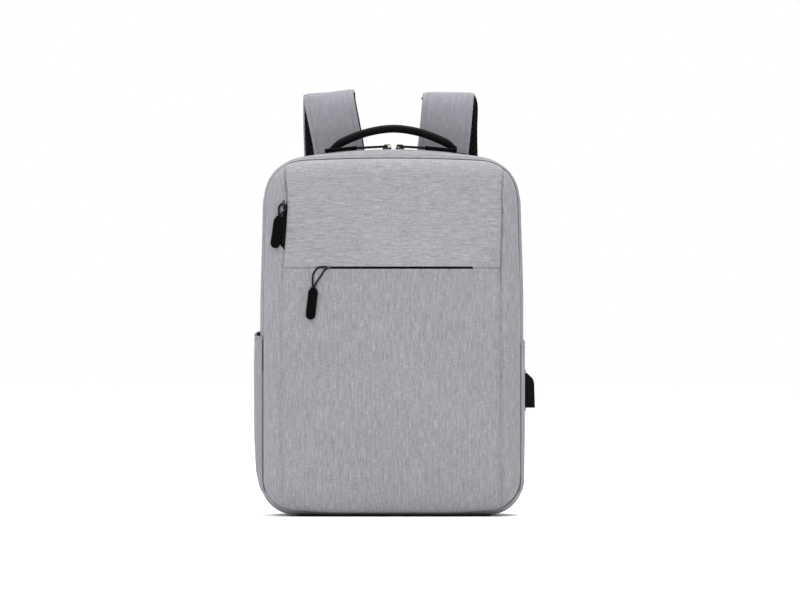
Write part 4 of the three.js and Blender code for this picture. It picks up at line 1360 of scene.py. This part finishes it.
def grip_mesh(name, place, thick):
    """A rubber tongue with a narrow neck, a round end, a raised edge and ribs across its faces."""
    tip = GRIP_SHAPE["tip"]
    start = GRIP_SHAPE["length"] - tip
    rounding = start + tip * np.sin(np.linspace(0.1, 1, 12) * math.pi / 2)
    xs = np.concatenate([[0, 0.25, 0.7], np.linspace(1.3, start, 66), rounding])
    placed = [[place @ (Vector(p) * MM) for p in grip_section(x, thick)] for x in xs]
    made = grid(name, placed, GRIP, wrap=True, caps=True)
    turn_out(made, place @ Vector((18 * MM, 0, 0)))
    return made


def puller_pieces(name, place, route, drop, end, turn=0, lean=0, dip=0, roll=0, thick=2.0, cord_radius=1.0):
    """The slider, its cord loop and its grip, in finer shapes than the CAD solids and in the same places.

    The route of the loop and the end where the grip starts are in mm along and across the zip. The loop gets
    lower by drop on its way there. The angles are in degrees.
    """
    body, slider_body = PULLER_BODIES[name]
    reach = math.hypot(*end)
    hang = place @ Matrix.Rotation(math.radians(turn), 4, "Z")
    points = [hang @ (Vector((x, y, EYE - drop * math.hypot(x, y) / reach)) * MM) for x, y in route]
    loop = closed_path(np.array(points), 150)
    cord = tube(f"{name}_cord_twist", loop, cord_radius * MM, CORD, closed=True, sides=12)
    attach(cord, body, "puller_cord", f"{name}_cord")
    at = hang @ Matrix.Translation(Vector((*end, EYE - drop)) * MM)
    for angle, axis in ((lean, "Z"), (dip, "Y"), (roll, "X")):
        at = at @ Matrix.Rotation(math.radians(angle), 4, axis)
    attach(grip_mesh(f"{name}_grip_shape", at, thick), body, "puller_rubber", f"{name}_grip")
    slider = refined(f"{name}_slider", SLIDER, 0.35 * MM, 2)
    attach(slider, slider_body, "zip_slider_metal", f"{name}_slider")


def pullers():
    """Two pullers on top of the main zip, and one at each pocket of the front."""
    radius = BODY["crown"] + 0.0003
    angle = math.asin(7.3 * MM / radius)
    centre = Vector((0, ZIP_Y, BODY["top"] - BODY["crown"]))
    for name, side, length in (("main_left", -1, 33), ("main_right", 1, 27)):
        out = Vector((side * math.sin(angle), 0, math.cos(angle)))
        place = frame_at(centre + out * radius, (side, 0, 0), out)
        loop, end = teardrop(length, 5), (length + LOOP_GAP, 0)
        puller_pieces(name, place, loop, 1.4, end, dip=4.5, thick=2.45, cord_radius=1.3)
    sunk_y = FRONT_Y + 0.002
    place = frame_at((-0.075, sunk_y, 0.283), (-1, 0, 0), (0, -1, 0))
    puller_pieces("front_pocket", place, SIDEWAYS_LOOP, -1.1, (15.6, 22.2), lean=83.7)
    place = frame_at((-0.1246, sunk_y, 0.3545), (0, 0, -1), (0, -1, 0))
    loop, end = teardrop(12.4, 3.6), (12.4 + LOOP_GAP, 0)
    puller_pieces("side_pocket", place, loop, 0, end, turn=-22, lean=14, roll=14, cord_radius=1.2)


# ---- Straps ----
def strap_routes(key):
    """The same routes as the CAD straps: the riser up from the yoke, and the fall to the buckle."""
    s = SIDES[key]
    side, shoulder, crest, drop = s["side"], s["shoulder"], s["crest"], s["drop"]
    crest_z = STRAP["pivot_z"] - STRAP["thick"] / 2
    y = STRAP["pivot_y"]
    riser = [
        (s["root"], BACK_Y + 0.010, 0.384), (shoulder - 0.002, BACK_Y + 0.0105, 0.405),
        (shoulder, BACK_Y + 0.011, 0.424), (0.55 * shoulder + 0.45 * crest, BACK_Y + 0.0115, 0.449),
        (crest - 0.001, BACK_Y + 0.016, 0.473), (crest, y - 0.006, crest_z - 0.0004), (crest, y, crest_z),
        (crest, y + 0.002, crest_z),
    ]
    fall = [
        (crest, y - 0.002, crest_z), (crest, y, crest_z), (crest + 0.0006, y + 0.006, crest_z - 0.0006),
        (0.4 * crest + 0.6 * drop + 0.001, 0.105, 0.472), (0.5 * (crest + drop) + 0.001, 0.114, 0.445),
        (drop, 0.118, 0.400), (drop + 0.003, 0.119, 0.340), (drop + 0.010, 0.117, 0.280),
        (drop + 0.018, 0.112, 0.220), (drop + 0.022, 0.106, STRAP["end_z"]),
    ]
    return [np.array([(side * x, y, z) for x, y, z in route]) for route in (riser, fall)]


def rolled(flat, degrees):
    """Turns a section about its path."""
    c, s = math.cos(math.radians(degrees)), math.sin(math.radians(degrees))
    return np.stack([flat[:, 0] * c - flat[:, 1] * s, flat[:, 0] * s + flat[:, 1] * c], axis=1)


def hold(piece, body):
    """Rides a strap's riser on the bag; the hanging part gets its placement baked into its mesh."""
    if body == "bag_body":
        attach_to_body(piece, body)
    else:
        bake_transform(piece)


def strap_layers(label, path, roll, half_at, narrower, body, flatness=lambda share: 1.0):
    """The cloth that wraps a padded strap's edges, its mesh underside, and two rows of stitching.

    At a share of the way, roll gives the angle in degrees, half_at the half width, and flatness how much of
    the full height there is.
    """
    def squeezed(flat, s):
        flat[:, 1] = (flat[:, 1] + 0.006) * flatness(s) - 0.006
        return rolled(flat, roll(s))

    def cover_section(s):
        return squeezed(rounded(2 * half_at(s), 0.0062, 3.2, 60) - np.array([0, 0.0027]), s)

    def mesh_section(s):
        flat = rounded(2 * half_at(s) - narrower, 0.0084, 3.6, 60) + np.array([0, 0.0017])
        flat[:, 1] += 0.35 * MM * math.cos(2 * math.pi * s * 22) * (flat[:, 1] > 0.004)
        return squeezed(flat, s)

    cover = swept(f"{label}_cloth", path, cover_section, HEATHER_STRAP)
    pad = swept(f"{label}_padding", path, mesh_section, STRAP_MESH_PAINTED_SHADE)
    for piece, slot_name in ((cover, "outer_cloth"), (pad, "air_mesh")):
        hold(piece, body)
    _, side, normal = directions(path, RIGHT)
    for name, sign in LEFT_RIGHT:
        line = []
        for i, s in enumerate(np.linspace(0, 1, len(path))):
            at = rolled(np.array([[sign * (half_at(s) - 0.0055), -0.0056]]), roll(s))[0]
            line.append(path[i] + side[i] * at[0] + normal[i] * at[1])
        row = stitches(f"{label}_stitches_{name}", line, -normal, GRAY_THREAD)
        hold(row, body)
    return cover, pad


def shoulder_strap(key):
    """One strap: the riser from the yoke up to the crest, and the fall that hangs down to the buckle."""
    riser, fall = strap_routes(key)
    spec = SIDES[key]
    half = STRAP["width"] / 2 - 0.0004

    def riser_roll(s):
        crest = smoothstep(s, 0.86, 1.0)
        return spec["riser_roll"] * smoothstep(s, 0.0, 0.3) * (1 - crest) - spec["slope"] * crest

    def riser_flatness(s):
        return 0.32 + 0.68 * smoothstep(s, 0.02, 0.20)

    def fall_roll(s):
        return -spec["slope"] * (1 - smoothstep(s, 0.02, 0.12))

    def fall_half(s):
        return (half + 0.0003) * (1 - 3.6 * max(s - 0.9, 0))

    path = smooth_path(riser, 70)
    label, narrower = f"strap_riser_{key}", spec["riser_edge"]
    cover, _ = strap_layers(label, path, riser_roll, lambda s: half, narrower, "bag_body", riser_flatness)
    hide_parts(f"strap_riser_{key}")
    path = smooth_path(fall, 150)
    label, body = f"strap_fall_{key}", f"shoulder_strap_{key}"
    cover, pad = strap_layers(label, path, fall_roll, fall_half, spec["edge"], body)
    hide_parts(f"strap_cover_{key}")
    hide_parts(f"strap_mesh_{key}")


# ---- Webbing and buckles ----
def webbing_routes(key):
    """The tail under the buckle, the piece from there to the bag, and the loop that holds the buckle."""
    side, drop = SIDES[key]["side"], SIDES[key]["drop"]
    x, y, z = side * (drop + 0.022), BUCKLE_Y, BUCKLE_Z
    bar, top, end = z + 0.0003, z + 0.0153, STRAP["end_z"]
    tail = [
        (x, y - 0.0037, z - 0.024), (x, y - 0.0038, bar - 0.003), (x, y - 0.0032, bar + 0.0034),
        (x, y, bar + 0.0054), (x, y + 0.0032, bar + 0.0034), (x, y + 0.0038, bar - 0.003),
        (x, y + 0.0038, z - 0.024), (x, y + 0.005, z - 0.090),
    ]
    lower = [
        (x, y - 0.0038, z - 0.0236), (side * (drop + 0.0222), y - 0.0037, z - 0.028),
        (side * (drop + 0.026), y - 0.003, 0.100), (side * (drop + 0.034), y - 0.004, 0.078),
        (side * 0.118, 0.090, 0.058), (side * 0.124, 0.078, 0.048),
        (side * 0.127, BACK_Y + 0.009, 0.044), (side * 0.1275, BACK_Y + 0.006, 0.0435),
    ]
    front = [(-0.0026, end + 0.004), (-0.0034, end - 0.003), (-0.0036, top + 0.001), (-0.0031, top - 0.0026)]
    flat = [*front, (0, top - 0.0044), *[(-a, b) for a, b in reversed(front)]]
    return tail, lower, [(x, y + a, b) for a, b in flat]


def webbing_pieces(key):
    """The strap's webbing, its buckle, and the cloth tab that joins it to the bag."""
    strips = []
    for kind, route, count in zip(
        ("webbing_tail", "webbing_lower", "buckle_loop"), webbing_routes(key), (110, 90, 60)
    ):
        node = f"{kind}_{key}"
        strip = flat_band(f"{node}_cloth", smooth_path(route, count), (0.025, 0.0016, 5, 30), WEBBING)
        stand_for([node])
        strips.append(strip)
    tail, lower, loop = strips
    strap, buckle = f"shoulder_strap_{key}", f"strap_buckle_{key}"
    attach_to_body(tail, buckle)
    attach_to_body(loop, strap)
    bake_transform(lower)
    attach(refined(f"buckle_{key}", BUCKLE, 0.8 * MM, 3), buckle, "buckle_plastic", f"buckle_{key}")
    tab = refined(f"webbing_tab_{key}", HEATHER, 1.6 * MM, 3)
    attach(tab, "bag_body", "outer_cloth", f"webbing_tab_{key}")


# ---- Back pads, yoke, luggage band ----
def swell(piece):
    """Blows a closed shape up as cloth for a moment. No point goes further than the cap from its start."""
    modify(piece, "REMESH", mode="VOXEL", voxel_size=SWELL["voxel"])
    apply_modifiers(piece)
    before = coordinates(piece)
    cloth = modify(piece, "CLOTH")
    cloth.settings.quality = 5
    cloth.settings.use_pressure = True
    cloth.settings.uniform_pressure_force = SWELL["pressure"]
    cloth.settings.effector_weights.gravity = 0
    scene = bpy.context.scene
    for number in range(1, SWELL["frames"] + 1):
        scene.frame_set(number)
    apply_modifiers(piece)
    scene.frame_set(1)
    moved = coordinates(piece) - before
    far = np.linalg.norm(moved, axis=1)[:, None]
    set_coordinates(piece, before + moved * np.minimum(1, SWELL["cap"] / np.maximum(far, 1e-9)))


def back_pad(key):
    """A foam pad under mesh, swollen by a cloth simulation and then sewn down along three channels."""
    low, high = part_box(f"back_pad_{key}")
    cx, cz = (low.x + high.x) / 2, (low.z + high.z) / 2
    half_x, half_z = (high.x - low.x) / 2, (high.z - low.z) / 2
    floor, thick = low.y, high.y - low.y
    rings = []
    for inset, rise in ((6, 0.4), (3.5, 2.0), (3.5, 5.0), (5.5, 7.5), (11, 9.0)):
        spec = roundrect(half_x - inset * MM, half_z - inset * MM, 0.022 - 0.6 * inset * MM)
        rings.append([(cx + a, floor + rise * MM * thick / 0.012, cz + b) for a, b in spec])
    inside = (cx, floor + 0.004, cz)
    made = grid(f"back_pad_{key}_cloth", rings, PAD_MESH, wrap=True, caps=True, inside=inside)
    swell(made)
    modify(made, "SUBSURF", levels=1)
    apply_modifiers(made)
    points = coordinates(made)
    tall = np.clip((points[:, 1] - floor) / thick, 0, 1.2)
    channels = [cz - 0.5 * half_z, cz, cz + 0.5 * half_z]
    sewn = sum(np.exp(-(((points[:, 2] - c) / 0.0042) ** 2)) for c in channels)
    border = np.minimum(half_x - np.abs(points[:, 0] - cx), half_z - np.abs(points[:, 2] - cz))
    sewn = np.maximum(sewn, 0.6 * np.exp(-(((border - 0.013) / 0.0022) ** 2)))
    points[:, 1] -= 0.0052 * tall * np.minimum(sewn, 1)
    points[:, 1] = np.clip(points[:, 1], floor + 0.0002, floor + thick + 0.0012)
    points[:, 0] = np.clip(points[:, 0], low.x - 0.001, high.x + 0.001)
    smooth_shading(made)
    set_coordinates(made, points)
    attach(made, "bag_body", "air_mesh", f"back_pad_{key}")


def roundrect(half_x, half_z, corner):
    """Points round the corners of a rounded rectangle about the origin."""
    points = []
    for sx, sz, start in ((1, 1, 0), (-1, 1, 90), (-1, -1, 180), (1, -1, 270)):
        points += list(arc(sx * (half_x - corner), sz * (half_z - corner), corner, start, start + 90, 9))
    return points


def yoke():
    """The band of cloth across the back that both straps are sewn under."""
    low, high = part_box("strap_yoke")
    mid = (low.z + high.z) / 2
    path = [(x, (low.y + high.y) / 2, mid) for x in np.linspace(low.x, high.x, 60)]
    cloth = flat_band("strap_yoke_cloth", path, (high.z - low.z, high.y - low.y, 6, 30), HEATHER, UP)
    attach(cloth, "bag_body", "outer_cloth", "strap_yoke")
    for k, dz in enumerate((-0.0085, 0.0085)):
        line = [(x, high.y, mid + dz) for x in np.linspace(low.x + 0.004, high.x - 0.004, 80)]
        attach(stitches(f"yoke_stitches_{k}", line, (0, 1, 0), GRAY_THREAD), "bag_body", "outer_cloth")


def luggage_band():
    """The bound cloth band over both back pads that goes round a suitcase's handle."""
    z = sum(p.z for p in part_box("luggage_band")) / 2
    half = [(x * MM, y * MM, z) for x, y in BAND_ROUTE]
    route = [(-x, y, z) for x, y, z in half] + half[::-1]
    path = smooth_path(route, 140)
    cloth = flat_band("luggage_band_cloth", path, (BAND_WIDTH, 0.0019, 7, 40), HEATHER, UP)
    swap_uv(cloth)
    attach(cloth, "bag_body", "outer_cloth", "luggage_band")
    extras = []
    _, side, normal = directions(path, UP)
    for name, edge in (("lower", -1), ("upper", 1)):
        hem_path = path + side * edge * 0.0285
        hem = flat_band(f"luggage_band_binding_{name}", hem_path, (0.006, 0.0030, 3, 18), WEBBING, UP)
        attach(hem, "bag_body", "webbing")
        line = path + side * edge * 0.0235 - normal * 0.0010
        row = stitches(f"luggage_band_stitches_{name}", line, -normal, GRAY_THREAD)
        attach(row, "bag_body", "outer_cloth")
        extras += [hem, row]


# ---- Inside ----
def divider_width(z, height, half):
    """Half width of the laptop divider at a height over its lower edge."""
    lower, upper = DIVIDER_CORNERS["lower"], DIVIDER_CORNERS["upper"]
    low, high = max(lower - z, 0), max(upper - (height - z), 0)
    if low:
        return half - lower + math.sqrt(lower**2 - low**2)
    return half - upper + math.sqrt(max(upper**2 - high**2, 0))


def laptop_divider():
    """A quilted padded wall with a bound upper edge."""
    low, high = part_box("laptop_divider")
    thick, height = high.y - low.y, high.z - low.z
    middle = (low.y + high.y) / 2
    shares = eased(60)
    faces = []
    for front in (1, -1):
        points = np.zeros((60, 60, 3))
        for i, j in np.ndindex(60, 60):
            z = shares[i] * height
            wide = divider_width(z, height, high.x)
            x = (2 * shares[j] - 1) * wide
            d = min(wide - abs(x), z, height - z)
            crown = math.sqrt(max(1 - (1 - min(d / 0.010, 1)) ** 2, 0))
            lines = [1 - abs(math.cos(math.pi * (x + k * z) / 0.05)) ** 8 for k in (1, -1)]
            quilt = 0.5 + 0.25 * sum(lines)
            points[i, j] = (x, middle - front * thick / 2 * (0.15 + 0.85 * crown * quilt), low.z + z)
        faces.append(grid(f"divider_face_{front}", points, LINING, inside=(0, middle, 0.15)))
    pad = joined("laptop_divider_cloth", faces)
    attach(pad, "bag_body", "lining_cloth", "laptop_divider")
    line = [(x, middle, high.z) for x in np.linspace(-high.x + 0.016, high.x - 0.016, 60)]
    trim = flat_band("laptop_divider_binding", line, (thick + 0.001, 0.006, 3, 20), WEBBING, BACKWARDS)
    attach(trim, "bag_body", "webbing")


def wrinkled(node, material, amount):
    """A cloth copy of a CAD solid: its faces cut small and moved softly, with no hard edge."""
    bm = bmesh.new()
    bm.from_mesh(NODES[node].data)
    bmesh.ops.remove_doubles(bm, verts=bm.verts, dist=MERGE)
    for _ in range(5):
        long = [e for e in bm.edges if e.calc_length() > WRINKLE["cut"]]
        if not long:
            break
        bmesh.ops.subdivide_edges(bm, edges=long, cuts=1)
        bmesh.ops.triangulate(bm, faces=[f for f in bm.faces if len(f.verts) > 4])
    bm.normal_update()
    for v in bm.verts:
        v.co.y += amount * ripple(v.co.x, v.co.z, WRINKLE["size"], 4.0)
        v.co.x += 0.5 * amount * ripple(v.co.y, v.co.z, WRINKLE["size"], 9.0)
    made = from_bmesh(f"{node}_cloth", bm, material)
    smooth_shading(made)
    modify(made, "EDGE_SPLIT", split_angle=math.radians(38))
    return apply_modifiers(made)


def inside_pieces():
    """Every cloth part of the inside, the side pocket's zip and the base."""
    laptop_divider()
    soft, firm = 0.6 * MM, 0.15 * MM
    for node, material, body, slot_name, amount in (
        ("lining", LINING, "bag_body", "lining_cloth", soft),
        ("front_wall_upper", LINING, "front_section", "lining_cloth", soft),
        ("front_wall_lower", LINING, "bag_body", "lining_cloth", soft),
        ("organizer_pocket", LINING, "front_section", "lining_cloth", soft),
        ("front_pocket_pouch", LINING, None, "lining_cloth", soft),
        ("side_pocket_zip", ZIP, None, "zip_tape", firm),
        ("laptop_tab", WEBBING, "laptop_tab", "webbing", firm),
        ("base_panel", BASE, "bag_body", "base_cloth", firm),
    ):
        made = wrinkled(node, material, amount)
        if node in ("lining", "front_wall_upper", "front_wall_lower"):
            soften_piece(made)
        if body is None:
            attach_at_fold(made, slot_name, node)
        else:
            attach(made, body, slot_name, node)
    paint("back_board", BOARD)


# ---- USB port ----
def usb_port():
    """A rubber hood over a socket that opens downwards, on a sewn-on flange."""
    for node, bevel in (("usb_flange", 0.5 * MM), ("usb_housing", 1.5 * MM)):
        attach(refined(node, PORT, bevel, 3), "bag_body", "port_rubber", node)
    paint("usb_socket", STEEL)
    paint("usb_tongue", TONGUE)
    low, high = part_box("usb_flange")
    edge, corner = 0.0016, 0.004
    line = np.array([
        (high.x, low.y + edge, low.z + corner), (high.x, low.y + edge, high.z - corner),
        (high.x, low.y + corner, high.z - edge), (high.x, high.y - corner, high.z - edge),
        (high.x, high.y - edge, high.z - corner), (high.x, high.y - edge, low.z + corner),
    ])
    row = stitches("usb_flange_stitches", resample(line, 90), (1, 0, 0), BLACK_THREAD)
    attach(row, "bag_body", "port_rubber")


# ---- Stage ----
def stage():
    """A white floor and background, and three large lamps."""
    bpy.ops.mesh.primitive_plane_add(size=30, location=(0, 8, 0))
    floor = bpy.context.object
    floor.name = "floor"
    m = Nodes("floor_paint", (0.995, 0.995, 0.995), 0.9)
    m.bump((m.grain(40), 0.02, 0.001))
    floor.data.materials.append(m.material)
    scene = bpy.context.scene
    scene.view_settings.view_transform = "Standard"
    world = bpy.data.worlds.new("studio")
    world.use_nodes = True
    background = world.node_tree.nodes["Background"].inputs
    background["Color"].default_value = (1, 1, 1, 1)
    background["Strength"].default_value = WORLD_LIGHT
    scene.world = world
    for name, place, size, power in LAMPS:
        data = bpy.data.lights.new(name, "AREA")
        data.size = size
        data.energy = power
        lamp = linked(name, data)
        lamp.location = place
        lamp.rotation_euler = (LAMPS_AIM - Vector(place)).to_track_quat("-Z", "Y").to_euler()


def camera():
    """Level with the middle of the picture, straight in front, through a long lens."""
    data = bpy.data.cameras.new("camera")
    data.lens = LENS
    data.sensor_width = SENSOR
    data.clip_end = 100
    made = linked("camera", data)
    made.location = (CAMERA_X, FRONT_Y - WIDTH_SHOWN * LENS / SENSOR, CAMERA_Z)
    made.rotation_euler = (math.pi / 2, 0, 0)
    bpy.context.scene.camera = made


camera()
stage()
cloth_front()
main_zip()
pocket_zips()
side_cloth()
back_cloth()
back_piping()
bottle_pocket("bottle_pocket_left", -1, LEFT_SAG)
bottle_pocket("bottle_pocket_right", 1, RIGHT_SAG)
handle()
pullers()
for strap_key in SIDES:
    shoulder_strap(strap_key)
    webbing_pieces(strap_key)
    back_pad(strap_key)
yoke()
luggage_band()
inside_pieces()
usb_port()

bpy.context.view_layer.update()
